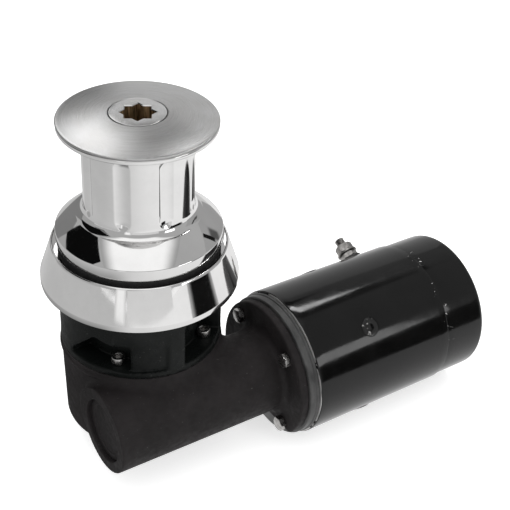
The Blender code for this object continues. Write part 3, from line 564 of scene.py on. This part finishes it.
def gloss_black():
    """Black enamel, chipped to bare steel at the tube's front lip and round the rear seam; a thin continuous line
    of bare-steel colour along the lip is a painted highlight where the rim catches the light.
    """
    p = Paint("gloss_black_paint", 0.0, Specular_IOR_Level=0.31)
    along = p.apart()[0]
    lip = p.between(along, (TUBE_X[0] - 0.2) * MM, (TUBE_X[0] + 0.8) * MM, 1, 0)
    before = p.between(along, 206.0 * MM, (TUBE_X[1] - 0.3) * MM, 0, 1)
    after = p.between(along, (END_CAP_X[0] + 0.9) * MM, 232.0 * MM, 1, 0)
    seam = p.math("MULTIPLY", before, after)
    patch = p.between(p.noise(21, 2, 0.5), 0.53, 0.60, 0, 1)
    near = p.math("MAXIMUM", lip, p.math("MULTIPLY", seam, patch))
    flake = p.noise(330, 4, 0.7)
    threshold = p.between(near, 0, 1, 0.82, 0.655)
    chip = p.math("GREATER_THAN", flake, threshold)
    # painted highlight: a thin bare-steel coloured line along the front lip stands in for light caught by the
    # rim's edge
    edge = p.math("GREATER_THAN", p.math("MULTIPLY", lip, p.noise(40, 2)), 0.36)
    # real paint chips joined with the painted highlight line at the lip
    chips_and_lip_highlight = p.math("MAXIMUM", chip, edge)
    dust = p.noise(26, 5, 0.62)
    paint = p.colours(p.between(dust, 0.3, 0.75, 0, 1), grey(0.0025), grey(0.0045, 0.01))
    p.base(p.colours(chips_and_lip_highlight, paint, grey(0.50, 0.01)))
    p.feed(p.shader.inputs["Metallic"], p.math("MULTIPLY", chips_and_lip_highlight, 0.5))
    haze = p.between(p.noise(60, 5, 0.6), 0.3, 0.75, 0.07, 0.15)
    p.rough(p.math("ADD", haze, p.math("MULTIPLY", chips_and_lip_highlight, 0.3)))
    p.bump(p.noise(330, 2, 0.5), 0.0003, 0.05)
    p.bump(chip, 0.00008, -0.5)
    return p.material


def chipped_black():
    p = Paint("chipped_black_steel", 0.0, Specular_IOR_Level=0.5)
    chip = p.between(p.noise(420, 3, 0.6), 0.62, 0.66, 0, 1)
    p.base(p.colours(chip, grey(0.006), grey(0.55, 0.02)))
    p.feed(p.shader.inputs["Metallic"], p.math("MULTIPLY", chip, 0.9))
    p.rough(p.between(chip, 0, 1, 0.16, 0.32))
    p.bump(chip, 0.00006, -0.6)
    return p.material


def shield_paint():
    p = Paint("worn_satin_black", 0.0, Specular_IOR_Level=0.45)
    rub = p.noise(120, 5, 0.65, stretch=(1, 0.4, 0.4))
    p.base(p.colours(p.between(rub, 0.35, 0.75, 0, 1), grey(0.020), grey(0.060, 0.01)))
    p.rough(p.between(rub, 0.3, 0.7, 0.34, 0.55))
    p.bump(p.noise(500, 3), 0.00003, 0.3)
    return p.material


def rubber():
    p = Paint("rubber_black", 0.0, Specular_IOR_Level=0.3)
    p.base(p.colours(p.noise(180, 4), grey(0.010), grey(0.022)))
    p.rough(p.between(p.noise(600, 3), 0.3, 0.7, 0.6, 0.8))
    p.bump(p.noise(1400, 2), 0.0001, 0.3)
    return p.material


def insulation():
    p = Paint("moulded_insulation", 0.0, Specular_IOR_Level=0.4)
    p.base(p.colours(p.noise(240, 4), grey(0.018), grey(0.034, 0.02)))
    p.rough(p.between(p.noise(500, 3), 0.3, 0.7, 0.42, 0.62))
    p.bump(p.noise(1100, 2), 0.0001, 0.25)
    return p.material


def carbon():
    p = Paint("carbon_brush", 0.0)
    p.base(p.colours(p.noise(700, 4), grey(0.03), grey(0.07)))
    p.rough(p.between(p.noise(900, 3), 0.3, 0.7, 0.55, 0.75))
    p.bump(p.noise(2500, 2), 0.00006, 0.4)
    return p.material


MATERIALS = {
    "chrome": chrome(),
    "satin_steel": satin_steel(),
    "plug_steel": plug_steel(),
    "dull_steel": dull_steel(),
    "aged_bronze": aged_bronze(),
    "zinc_steel": zinc_steel(),
    "machined_steel": machined_steel(),
    "bronze": bronze(),
    "copper": copper(),
    "cast_black": cast_black("cast_black", (0.0105, 0.0090, 0.0092, 1), (0.0165, 0.0140, 0.0145, 1),
                             0.55, 0.75, 0.16),
    "cover_black": cast_black("cover_semi_gloss", (0.004, 0.0048, 0.0045, 1), (0.0065, 0.0076, 0.0072, 1),
                              0.26, 0.42, 0.13),
    "gloss_black": gloss_black(),
    "shield_paint": shield_paint(),
    "chipped_black": chipped_black(),
    "rubber": rubber(),
    "insulation": insulation(),
    "carbon": carbon(),
}
SLOT_OF_NODE = {part["node"]: part["material_slot"] for part in frame["record"]["subparts"]}
BODY_OF_NODE = {n: o["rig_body"] for n, o in frame["nodes"].items()}


def dress(obj, node, look=None):
    """The piece stands for a CAD node: same body, and its own material, which is the one named by the node's slot
    unless another look is given; the node is hidden.
    """
    slot = SLOT_OF_NODE[node]
    obj.data.materials.clear()
    obj.data.materials.append(MATERIALS[look or slot])
    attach(obj, BODY_OF_NODE[node])
    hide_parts(node)
    return obj


# ---- drum and top works ----------------------------------------------------------------
def scallop_relief(verts):
    """Presses round-ended channels into the rope wall, with softly rounded lips."""
    half = SCALLOP_WIDTH / 2
    depth = SCALLOP_DEPTH - (DRUM_R - math.sqrt(DRUM_R ** 2 - half ** 2))
    radius = (half ** 2 + depth ** 2) / (2 * depth)
    middle = sum(SCALLOP_Z) / 2
    spine = (SCALLOP_Z[1] - SCALLOP_Z[0]) / 2 - half
    outer = np.hypot(verts[:, 0], verts[:, 1]) > DRUM_R - 0.01
    lip = SCALLOP_LIP
    for k in range(SCALLOPS):
        a = math.tau * k / SCALLOPS
        c, s = math.cos(a), math.sin(a)
        out = verts[:, 0] * c + verts[:, 1] * s
        side = -verts[:, 0] * s + verts[:, 1] * c
        over = np.maximum(np.abs(verts[:, 2] - middle) - spine, 0)
        q = radius ** 2 - side ** 2 - over ** 2
        floor = DRUM_R - SCALLOP_DEPTH + radius - np.sqrt(np.maximum(q, 0))
        near = outer & (q > 0) & (out > 0)
        gap = np.clip(0.5 + 0.5 * (out - floor) / lip, 0, 1)
        soft = out * (1 - gap) + floor * gap - lip * gap * (1 - gap)
        new = np.where(near, soft, out)
        verts[:, 0] = new * c - side * s
        verts[:, 1] = new * s + side * c
    return verts


def make_drum():
    upper = arc((48.9, 108.5), 10.5, 90, 180, 28)
    foot = arc((46.4, 61.0), 8.0, 180, 254, 24)
    lip = rounded([(52.5, 119.0), (54.2, 119.6, 0.9), (54.2, 122.5, 0.9), (33.0, 122.5)], 5)[1:-1]
    edge = rounded([(50.0, 49.7), (58.6, 41.4, 1.3), (58.2, 33.0, 0.6), (55.6, 33.0, 0.4), (55.6, 38.6)], 6)[1:-1]
    inside = [(55.6, 38.6), (44.0, 48.1), (37.0, 50.0), (31.0, 50.0), (27.0, 66.0), (15.3, 66.0),
              (15.3, 88.0), (22.0, 88.0), (22.0, 122.5), (25.0, 122.5), (25.0, 74.0), (33.4, 74.0),
              (33.4, 122.5)]
    profile = list(reversed(lip)) + upper + foot + edge + inside
    profile = refined(profile, 0.8, 60.9, 108.6)
    verts, faces = revolve(profile, 480)
    outer_wall = np.hypot(verts[:, 0], verts[:, 1]) > DRUM_R - 0.02
    verts = np.where(outer_wall[:, None], scallop_relief(verts.copy()), verts)
    dress(solid("drum_shell", (verts, faces)), "drum")


def make_cap():
    bore, (rim_r, rim_z) = CAP_BORE_R, CAP_RIM
    fall = (CAP_CROWN_Z - rim_z) / (rim_r ** 2 - bore ** 2)
    dome = [(r, CAP_CROWN_Z - fall * (r * r - bore * bore)) for r in np.linspace(bore + 0.4, rim_r - 0.3, 30)]
    rim = arc((53.7, 123.5), 0.68, 75, -75, 8)
    under = [(33.0, 122.8), (33.0, 119.0), (25.4, 119.0), (25.4, 122.8), (bore, 122.8), (bore, 128.1)]
    dress(solid("cap_disc", revolve(dome + rim + under, 256)), "drum_cap")


def make_nut():
    profile = rounded([(0, NUT_TOP), (NUT_HEAD_R, NUT_TOP, 0.35), (NUT_HEAD_R, 122.9, 0.2),
                       (NUT_SHANK_R, 122.9), (NUT_SHANK_R, NUT_FOOT_Z, 0.5), (0, NUT_FOOT_Z)], 5)
    nut = solid("handle_plug", revolve(profile, 160))
    wide = star(SOCKET_SQUARE + SOCKET_LEAD_IN, SOCKET_ANGLE)
    true = star(SOCKET_SQUARE, SOCKET_ANGLE)
    socket = solid("socket_tool", loft([(NUT_TOP - 21.0, true), (NUT_TOP - 0.55, true), (NUT_TOP + 0.15, wide),
                                        (NUT_TOP + 3, wide)]))
    thread = solid("thread_tool", revolve([(0, 90), (10.1, 90), (10.1, NUT_TOP - 19), (0, NUT_TOP - 19)], 64))
    cut(nut, socket, thread)
    dress(nut, "clutch_nut", "plug_steel")
    # the socket's own walls are bare bronze
    nut.data.materials.append(MATERIALS["aged_bronze"])
    for face in nut.data.polygons:
        c = face.center / MM
        if math.hypot(c.x, c.y) < 12.6 and NUT_FOOT_Z + 0.5 < c.z < NUT_TOP - 0.6:
            face.material_index = 1


# ---- deck flange -----------------------------------------------------------------------
def make_flange():
    profile = rounded([(60.8, 23.6), (60.8, 29.6, 0.5), (61.6, 30.2, 0.5), (62.3, 29.5, 0.4), (62.75, 28.6, 0.2),
                       (70.7, 4.3, 1.0), (70.7, 0, 0.4), (59.2, 0), (59.2, 8.3), (46, 8.3), (46, 12.3),
                       (60.5, 12.3), (57.5, 19.6), (50, 19.6), (50, 23.6)], 6)
    dress(solid("deck_ring", revolve(profile, 360)), "deck_flange")
    seal = rounded([(52, 23.9), (57.3, 23.9, 0.4), (57.3, 32.4, 0.8), (53, 32.6, 0.6), (52, 31.8)], 4)
    dress(solid("skirt_gasket", revolve(seal, 256)), "skirt_seal")


# ---- gearbox castings ------------------------------------------------------------------
def ring_zone(r, z, r_high, z_low, z_high, r_low=-50.0):
    """Distance-like field of a turned zone, negative inside."""
    return np.maximum.reduce([r - r_high, r_low - r, z_low - z, z - z_high])


def drilled(value, points, holes, radius, axis):
    """Takes round holes (first and second coordinate, low and high along the axis) out of a field."""
    a, b = [d for d in range(3) if d != axis]
    for u, v, low, high in holes:
        hole = np.hypot(points[..., a] - u, points[..., b] - v) - radius
        hole = np.maximum(hole, np.maximum(low - points[..., axis], points[..., axis] - high))
        value = np.maximum(value, -hole)
    return value


def angle_from(points, middle):
    a = np.degrees(np.arctan2(points[..., 1], points[..., 0])) - middle
    return (a + 180) % 360 - 180


def eased(t):
    t = np.clip(t, 0, 1)
    return t * t * (3 - 2 * t)


def pocket(points, r, z, start, end, ceiling):
    """A screw pocket: a ring sector above the pocket floor, open at the cover's side."""
    side = r * np.radians(np.abs(angle_from(points, (start + end) / 2)) - (end - start) / 2)
    box = round_common(side, z - ceiling, 2.6)
    box = round_common(box, POCKET_R - r, 2.6)
    return round_common(box, POCKET_FLOOR_Z - z, 0.8)


def crested_pocket(points, r, z):
    """The first pocket: its ceiling climbs to a crest and falls away."""
    turn = angle_from(points, CREST_ANGLE)
    climb = z - (CREST_Z + 0.95 * turn)
    fall = z - CREST_Z + 5.5 * np.clip(turn / 18.0, 0, 1) ** 0.8
    side = r * np.radians(np.abs(angle_from(points, -151.0)) - 25.0)
    box = round_common(round_common(climb * 0.7, fall, 2.5), side, 2.5)
    return round_common(round_common(box, POCKET_R - r, 2.6), POCKET_FLOOR_Z - z, 0.8)


def shallow_pocket(points, r, z):
    """The first pocket's far end, where the wall is only thinned; its top fades out."""
    beyond = angle_from(points, SHALLOW_END_ANGLE)
    depth = eased((-10.0 - z) / 24.0) * eased(-beyond / 5.0)
    box = np.maximum(COVER_R + 0.02 - SHALLOW_DEPTH * depth - r, POCKET_FLOOR_Z - z)
    box = np.maximum(box, r * np.radians(-beyond - 40.0))
    return np.where(depth > 0.004, box, 1.0)


def cover_field(points):
    r = np.hypot(points[..., 0], points[..., 1])
    z = points[..., 2]
    outer = np.where(z < POCKET_FLOOR_Z, COVER_R + 0.2, COVER_R)
    body = round_common(r - outer, z - COVER_TOP_Z, 0.6)
    body = round_common(body, JOINT_Z + 0.3 - z, 0.4)
    body = np.minimum(body, ring_zone(r, z, 53.0, -54.0, -45.0))
    hollow = np.minimum.reduce([
        ring_zone(r, z, 41.0, -80.0, -30.0), ring_zone(r, z, 41.0, -80.0, -2.0, 31.0),
        ring_zone(r, z, 26.3, -80.0, -14.0), ring_zone(r, z, 20.0, -80.0, 20.0),
        ring_zone(r, z, 23.8, -8.0, 20.0)])
    value = np.maximum(body, -hollow)
    pockets = np.minimum.reduce([crested_pocket(points, r, z)]
                                + [pocket(points, r, z, *sector) for sector in PLAIN_POCKETS])
    value = round_common(np.maximum(value, -shallow_pocket(points, r, z)), -pockets, 1.3)
    holes = [(*polar(COVER_SCREW_R, a).translation.xy, -60.0, -40.0) for a in COVER_SCREW_ANGLES]
    return drilled(value, points, holes, SCREW_HOLE_R, 2)


def housing_field(points):
    x, y, z = points[..., 0], points[..., 1], points[..., 2]
    r = np.hypot(x, y)
    a = np.hypot(y - MOTOR_Y, z - MOTOR_Z)
    taper = np.clip((-55.0 - z) / 61.5, 0, 1)
    pot = round_common(r - (58.5 - 1.3 * taper), POT_FOOT_Z - z, 2.8)
    tube_r = 32.1 + 0.6 * (x - WORM_TUBE_MOUTH_X) / 135.6
    tube = round_common(a - tube_r, WORM_TUBE_MOUTH_X - x, 0.9)
    tube = np.maximum(tube, x - FLANGE_FACE_X)
    blend = 1.0 + 6.5 * np.clip((z + 114.0) / 18.0, 0, 1)
    body = round_join(pot, tube, blend)
    ledge = round_common(round_common(r - 59.7, z + 54.6, 1.0), -57.4 - z, 0.9)
    body = round_common(round_join(body, ledge, 0.4), z - JOINT_Z, 0.4)
    flange = round_common(a - FLANGE_R, 77.4 - x, 1.5)
    flange = round_common(flange, x - FLANGE_FACE_X, 0.5)
    body = round_join(body, flange, 4.6)
    body = np.maximum(body, x - FLANGE_FACE_X)
    hollow = np.minimum.reduce([
        ring_zone(a, x, 23.6, -90.0, 100.0), ring_zone(a, x, 26.0, 55.0, 100.0),
        ring_zone(a, x, 32.3, 81.0, 100.0), ring_zone(r, z, 53.3, -54.3, 0.0),
        ring_zone(r, z, 42.0, -70.0, 0.0), ring_zone(r, z, 52.0, -108.0, -66.0),
        ring_zone(r, z, 23.8, -117.0, -100.0)])
    value = round_common(body, -hollow, 0.7)
    holes = [(*polar(COVER_SCREW_R, a).translation.xy, -64.0, -40.0) for a in COVER_SCREW_ANGLES]
    value = drilled(value, points, holes, SCREW_HOLE_R, 2)
    bolts = [(MOTOR_Y + FLANGE_BOLT_R * math.cos(math.radians(d)),
              MOTOR_Z + FLANGE_BOLT_R * math.sin(math.radians(d)), 70.0, 90.0) for d in DIAGONALS]
    return drilled(value, points, bolts, SCREW_HOLE_R, 0)


def make_castings():
    step = FINE_STEP
    cover = cast_mesh(cover_field, (-59, -59, -54), (59, 59, COVER_TOP_Z), step)
    dress(solid("cover_casting", cover, sharp=48), "gearbox_cover", "cover_black")
    housing = cast_mesh(housing_field, (-59, -102, -122), (85, 59, -35), step)
    dress(solid("housing_casting", housing, sharp=48), "gearbox_housing")
    cap = rounded([(0, -51.0), (23.3, -51.0), (23.3, -55.2, 0.7), (19.0, -55.2, 0.5), (18.2, -54.5, 0.5),
                   (0, -54.5)], 4)
    dress(solid("worm_plug", revolve(cap, 128), MOTOR_AXIS), "worm_end_cap")


# ---- screws and bolts ------------------------------------------------------------------
def hex_socket(across_flats, floor, mouth, axis=DRUM_AXIS, local=Matrix()):
    """The tool that cuts a key socket with a chamfered mouth."""
    key, lead_in = hexagon(across_flats), hexagon(across_flats + 0.8)
    shape = loft([(floor, key), (mouth - 0.4, key), (mouth, lead_in), (mouth + 2.4, lead_in)])
    return solid("socket_tool", shape, axis, local)


def make_cover_screws():
    for index, angle in enumerate(COVER_SCREW_ANGLES):
        where = polar(COVER_SCREW_R, angle)
        name = f"cover_screw_{index + 1}"
        profile = rounded([(0, -40.2), (5.0, -40.2, 0.7), (5.0, -45.7, 0.3), (3.0, -45.7), (3.0, -63.5, 0.8),
                           (0, -63.5)], 4)
        screw = solid(f"{name}_body", revolve(profile, 48), local=where)
        cut(screw, hex_socket(5.0, -43.4, -40.1, local=where))
        dress(screw, name)


def chamfered_hexagon(name, across_flats, low, high, axis, local, both=True):
    """A hexagon prism whose corners are turned off at the top, and at the bottom if both."""
    wide = across_flats / math.sqrt(3) + 0.05
    flat = across_flats / 2 * 0.96
    drop = (wide - flat) * 0.55
    head = solid(name, loft([(low, hexagon(across_flats)), (high, hexagon(across_flats))]), axis, local)
    bottom = [(wide, low + drop), (flat, low)] if both else [(wide, low)]
    profile = [(0, high), (flat, high), (wide, high - drop)] + bottom + [(0, low)]
    turned = solid("chamfer_tool", revolve(profile, 64), axis, local)
    combine(head, "INTERSECT", [turned])
    return head


def make_flange_bolts():
    for index, angle in enumerate(DIAGONALS):
        where = polar(FLANGE_BOLT_R, angle)
        name = f"flange_bolt_{index + 1}"
        # the head faces away from the motor, so it is built upside down
        flipped = where @ Matrix.Rotation(math.pi, 4, "X")
        bolt = chamfered_hexagon(f"{name}_body", 10.0, -77.1, -72.9, MOTOR_AXIS, flipped, both=False)
        profile = [(0, -91.5), (2.6, -91.5), (3.0, -91.0), (3.0, -75.0), (0, -75.0)]
        shank = solid("shank_tool", revolve(profile, 32), MOTOR_AXIS, flipped)
        combine(bolt, "UNION", [shank])
        dress(bolt, name)


def make_pole_screws():
    for index, angle in enumerate(DIAGONALS):
        where = radial(angle, POLE_SCREW_X)
        name = f"pole_screw_{index + 1}"
        profile = rounded([(0, 57.2), (POLE_SCREW_HEAD_R, 57.2, 0.6), (POLE_SCREW_HEAD_R, 54.8, 0.2),
                           (4.0, 54.8), (4.0, 42.0, 0.4), (0, 42.0)], 4)
        screw = solid(f"{name}_body", revolve(profile, 64), MOTOR_AXIS, where)
        cut(screw, hex_socket(6.0, 55.0, 57.3, MOTOR_AXIS, where))
        dress(screw, name, "chipped_black")


# ---- motor -----------------------------------------------------------------------------
def make_motor():
    steps = 256
    shield = rounded([(17.8, 99.0), (24.0, 99.0), (24.0, 95.5), (46.0, 95.5), (46.0, 98.0), (51.7, 98.0),
                      (51.7, 92.4), (55.6, 92.4, 0.3), (55.6, 90.2, 0.6), (54.9, 89.6, 0.3), (54.9, 84.9, 0.8),
                      (53.6, 84.3), (32.0, 84.3), (32.0, 81.3), (9.5, 81.3), (9.5, 88.2), (17.8, 88.2)], 4)
    dress(solid("front_shield", revolve(shield, steps), MOTOR_AXIS), "motor_front_shield", "shield_paint")
    front, rear = TUBE_X
    tube = rounded([(52.0, rear), (MOTOR_R, rear, 0.7), (MOTOR_R, front, 1.0), (52.0, front)], 6)
    shell = solid("yoke_tube", revolve(refined(tube, 6.0), steps), MOTOR_AXIS)
    screw_seat = [(0, 62), (7.8, 62), (7.3, 56.8), (7.3, 54.5), (4.3, 54.5), (4.3, 41.5), (0, 41.5)]
    stud_hole = [(0, 65), (6.0, 65), (6.0, 45), (0, 45)]
    seats = [solid("seat_tool", revolve(screw_seat, 64), MOTOR_AXIS, radial(a, POLE_SCREW_X)) for a in DIAGONALS]
    seats += [solid("seat_tool", revolve(stud_hole, 32), MOTOR_AXIS, radial(a, TERMINAL_X))
              for a in TERMINAL_ANGLES]
    cut(shell, *seats)
    dress(shell, "motor_tube")
    front, rear = END_CAP_X
    end = rounded([(0, rear), (56.0, rear, 4.6), (56.0, front, 0.5), (51.7, front), (51.7, 211.6),
                   (48.0, 211.6), (48.0, 249.2), (21.0, 249.2), (21.0, 238.0), (16.3, 238.0),
                   (16.3, 249.0), (0, 249.0)], 8)
    dress(solid("rear_cap", revolve(refined(end, 8.0), steps), MOTOR_AXIS), "motor_end_cap")


def thread_relief(verts, pitch, depth, low, high):
    """Cuts a helical thread into a stud's side between two heights."""
    r = np.hypot(verts[:, 0], verts[:, 1])
    turn = np.arctan2(verts[:, 1], verts[:, 0]) / math.tau
    phase = (verts[:, 2] / pitch - turn) % 1.0
    ridge = np.abs(phase * 2 - 1)
    inside = (r > STUD_R - 0.1) & (verts[:, 2] > low) & (verts[:, 2] < high)
    scale = np.where(inside, (r - depth * ridge) / np.maximum(r, 1e-6), 1.0)
    verts[:, 0] *= scale
    verts[:, 1] *= scale
    return verts


def make_terminals():
    for index, angle in enumerate(TERMINAL_ANGLES):
        n = index + 1
        where = radial(angle, TERMINAL_X)
        sleeve = rounded([(STUD_BORE_R, 60.8), (9.0, 60.8, 0.8), (9.0, 57.6, 0.2), (5.7, 57.6), (5.7, 50.5),
                          (STUD_BORE_R, 50.5)], 4)
        dress(solid(f"insulator_sleeve_{n}", revolve(sleeve, 64), MOTOR_AXIS, where), f"terminal_insulator_{n}")
        side = [(STUD_R, 80.0 - 0.15 * k) for k in range(1, 197)]
        tip = [(0, STUD_TIP), (2.9, STUD_TIP), (3.3, 80.6)]
        verts, faces = revolve(tip + side + [(STUD_R, 50.2), (0, 50.2)], 48)
        verts = thread_relief(verts, STUD_PITCH, STUD_THREAD_DEPTH, 52.0, 79.8)
        stud = solid(f"stud_{n}", (verts, faces), MOTOR_AXIS, where)
        head = chamfered_hexagon("head_tool", STUD_HEAD_FLATS, 46.5, 50.2, MOTOR_AXIS, where)
        combine(stud, "UNION", [head])
        dress(stud, f"terminal_stud_{n}", "dull_steel")
        for kind, low, high in STUD_NUTS:
            nut = chamfered_hexagon(f"{kind}_body_{n}", STUD_NUT_FLATS, low, high, MOTOR_AXIS, where)
            bore = [(0, high + 2), (5.2, high + 2), (5.2, high + 0.3), (STUD_BORE_R, high - 0.6),
                    (STUD_BORE_R, low - 2), (0, low - 2)]
            cut(nut, solid("bore_tool", revolve(bore, 40), MOTOR_AXIS, where))
            dress(nut, f"{kind}_{n}", "dull_steel")
        washer = rounded([(STUD_BORE_R, 65.9), (8.6, 65.9, 0.2), (8.6, 67.4, 0.3), (STUD_BORE_R, 67.4)], 3)
        washer = solid(f"washer_{n}", revolve(washer, 64), MOTOR_AXIS, where)
        dress(washer, f"terminal_washer_{n}", "dull_steel")


make_drum()
make_cap()
make_nut()
make_flange()
make_castings()
make_cover_screws()
make_flange_bolts()
make_pole_screws()
make_motor()
make_terminals()

for node_name, node in frame["nodes"].items():
    if not node.hide_render:
        for slot_index in range(len(node.material_slots)):
            node.material_slots[slot_index].material = MATERIALS[SLOT_OF_NODE[node_name]]


# ---- studio ----------------------------------------------------------------------------
FLOOR_Z = (cad_box[0].z / MM - 0.3) * MM
FLOOR_HALF_WIDTH = 6.0
FLOOR_GLOW = 0.62
WORLD_TONE = 0.48

# name, azimuth, elevation, width and height of the angles covered, distance (m), radiance
SOFTBOXES = (
    ("overhead", -120, 76, 62, 62, 1.6, 1.1),
    ("front_right", -60, 18, 18, 13, 2.2, 4.2),
    ("rear_high", 33, 53, 13, 6, 2.0, 12.0),
    ("rear_high_fill", 46, 50, 10, 3, 2.0, 2.6),
    ("rear_left_window", 75, 44, 10, 20, 2.0, 2.3),
    ("ceiling_fill", 0, 90, 120, 120, 2.2, 0.30),
)
NOT_REFLECTED = ("overhead", "ceiling_fill")
# the same, with a tone, then for some the tone at the edges and how much of the card fades
CARDS = (
    ("overhead_glow", -120, 76, 66, 66, 1.55, 1.18, 0.42, 0.45),
    ("rear_left_flag", 139, 41, 46, 32, 1.4, 0.004),
    ("left_grey", 158, 30, 30, 26, 1.7, 0.20),
    ("rear_left_foot", 134, 10, 34, 30, 1.5, 0.42),
    ("front_right_flag", -49, -4, 34, 22, 0.62, 0.006, 0.50, 0.35),
    ("rear_flag", 55, 50, 17, 20, 2.3, 0.02),
    ("right_high", 24, 61, 22, 26, 2.2, 0.12, 0.42, 0.3),
    ("right_wall", 14, 8, 66, 56, 1.9, 0.40),
    ("right_side", 6, 21, 12, 14, 1.75, 0.10, 0.38, 0.5),
    ("right_bar", 0, 28, 4, 13, 1.7, 0.01),
    ("rear_wall", 52, 8, 28, 50, 2.0, 0.72),
    ("left_wall", 92, 8, 54, 44, 2.0, 0.24),
    ("front_wall", -108, 6, 50, 24, 2.4, 0.80),
    ("front_left_window", -140, 6, 12, 30, 2.2, 1.15, 0.80, 0.6),
)


def direction(azimuth, elevation):
    a, e = math.radians(azimuth), math.radians(elevation)
    return Vector((math.cos(a) * math.cos(e), math.sin(a) * math.cos(e), math.sin(e)))


def hang(name, data, azimuth, elevation, distance):
    """Puts a lamp or a card at a distance, facing the object, out of the camera's sight."""
    obj = bpy.data.objects.new(name, data)
    bpy.context.scene.collection.objects.link(obj)
    out = direction(azimuth, elevation)
    obj.location = out * distance
    obj.rotation_mode = "QUATERNION"
    obj.rotation_quaternion = out.to_track_quat("Z", "Y")
    obj.visible_camera = False
    return obj


def softbox(name, azimuth, elevation, width, height, distance, radiance):
    light = bpy.data.lights.new(name, "AREA")
    light.shape = "RECTANGLE"
    light.size = 2 * distance * math.tan(math.radians(width / 2))
    light.size_y = 2 * distance * math.tan(math.radians(height / 2))
    light.energy = radiance * math.pi * light.size * light.size_y
    obj = hang(name, light, azimuth, elevation, distance)
    obj.visible_glossy = name not in NOT_REFLECTED


def card(name, azimuth, elevation, width, height, distance, tone, edge=None, soft=0.4):
    """A card seen only in reflections; its tone may fade to another one at its edges."""
    w = distance * math.tan(math.radians(width / 2))
    h = distance * math.tan(math.radians(height / 2))
    mesh = bpy.data.meshes.new(name)
    mesh.from_pydata([(-w, -h, 0), (w, -h, 0), (w, h, 0), (-w, h, 0)], [], [(0, 1, 2, 3)])
    obj = hang(name, mesh, azimuth, elevation, distance)
    p = Paint(name, 0.0)
    level = grey(tone)
    if edge is not None:
        x, y = p.apart()[:2]
        across = p.between(p.math("ABSOLUTE", x), w * (1 - soft), w, 1, 0)
        up = p.between(p.math("ABSOLUTE", y), h * (1 - soft), h, 1, 0)
        level = p.colours(p.math("MULTIPLY", across, up), grey(edge), grey(tone))
    reflected_only(obj, p, level)


def reflected_only(obj, p, level):
    """Makes an object glow at one level and keeps it out of everything but reflections."""
    glow = p.node("ShaderNodeEmission", Color=level)
    p.tree.links.new(glow.outputs[0], p.tree.nodes["Material Output"].inputs["Surface"])
    obj.data.materials.append(p.material)
    obj.visible_camera = False
    obj.visible_diffuse = False
    obj.visible_shadow = False


def make_floor_sheen():
    """What the polished parts see of the paper: darker behind to the left, brighter in front."""
    mesh = bpy.data.meshes.new("floor_sheen")
    z = FLOOR_Z + 0.6 * MM
    ring = [(x, y, z) for x, y in arc((0, 0), 4.0, 0, 350, 35)]
    mesh.from_pydata(ring, [], [tuple(range(len(ring)))])
    obj = bpy.data.objects.new("floor_sheen", mesh)
    bpy.context.scene.collection.objects.link(obj)
    p = Paint("floor_sheen", 0.0)
    x, y = p.apart()[:2]
    toward = p.math("SUBTRACT", p.math("MULTIPLY", x, 0.77), p.math("MULTIPLY", y, 0.64))
    tone = p.colours(p.between(toward, -0.45, 0.45, 0, 1), grey(0.60), grey(1.02))
    # close by, on the darker side, the paper lies in the winch's own shade
    close_by = p.between(p.radius_xy(), 0.12, 0.36, 1, 0)
    shade = p.math("MULTIPLY", close_by, p.between(toward, -0.12, 0.02, 1, 0))
    reflected_only(obj, p, p.colours(shade, tone, grey(0.14)))


def make_floor():
    cells = 24
    grid = np.linspace(-FLOOR_HALF_WIDTH, FLOOR_HALF_WIDTH, cells + 1)
    verts = [(x, y, FLOOR_Z) for y in grid for x in grid]
    row = cells + 1
    faces = [(j * row + i, j * row + i + 1, (j + 1) * row + i + 1, (j + 1) * row + i)
             for j in range(cells) for i in range(cells)]
    mesh = bpy.data.meshes.new("studio_floor")
    mesh.from_pydata(verts, [], faces)
    floor = bpy.data.objects.new("studio_floor", mesh)
    bpy.context.scene.collection.objects.link(floor)
    p = Paint("studio_paper", 0.0, Specular_IOR_Level=0.0)
    p.base(p.colours(p.noise(3, 2), grey(0.86), grey(0.89)))
    p.rough(1.0)
    p.shader.inputs["Emission Color"].default_value = grey(1.0)
    p.shader.inputs["Emission Strength"].default_value = FLOOR_GLOW
    mesh.materials.append(p.material)


def make_world():
    world = bpy.data.worlds.new("studio_world")
    bpy.context.scene.world = world
    world.use_nodes = True
    background = world.node_tree.nodes["Background"]
    background.inputs["Color"].default_value = grey(WORLD_TONE)
    background.inputs["Strength"].default_value = 1.0


make_floor()
make_world()
make_floor_sheen()
for row in SOFTBOXES:
    softbox(*row)
for row in CARDS:
    card(*row)

# ---- camera ----------------------------------------------------------------------------
CAMERA_PLACE = (-316.2, -596.0, 486.1)
CAMERA_AZIMUTH, CAMERA_ELEVATION, CAMERA_ROLL = -34.884, 34.867, 3.01
camera_data = bpy.data.cameras.new("camera")
camera = bpy.data.objects.new("camera", camera_data)
bpy.context.scene.collection.objects.link(camera)
bpy.context.scene.camera = camera
camera_data.sensor_width = 36.0
camera_data.lens = 81.46
camera_data.clip_start, camera_data.clip_end = 0.05, 50.0
a, e, roll = map(math.radians, (CAMERA_AZIMUTH, CAMERA_ELEVATION, CAMERA_ROLL))
back = Vector((math.sin(a) * math.cos(e), -math.cos(a) * math.cos(e), math.sin(e)))
level = Vector((math.cos(a), math.sin(a), 0))
upright = back.cross(level)
right = level * math.cos(roll) + upright * math.sin(roll)
up = upright * math.cos(roll) - level * math.sin(roll)
camera.matrix_world = Matrix((right, up, back)).transposed().to_4x4()
camera.location = Vector(CAMERA_PLACE) * MM

scene = bpy.context.scene
scene.view_settings.view_transform = "Standard"
scene.view_settings.look = "None"
scene.view_settings.exposure = 0.0
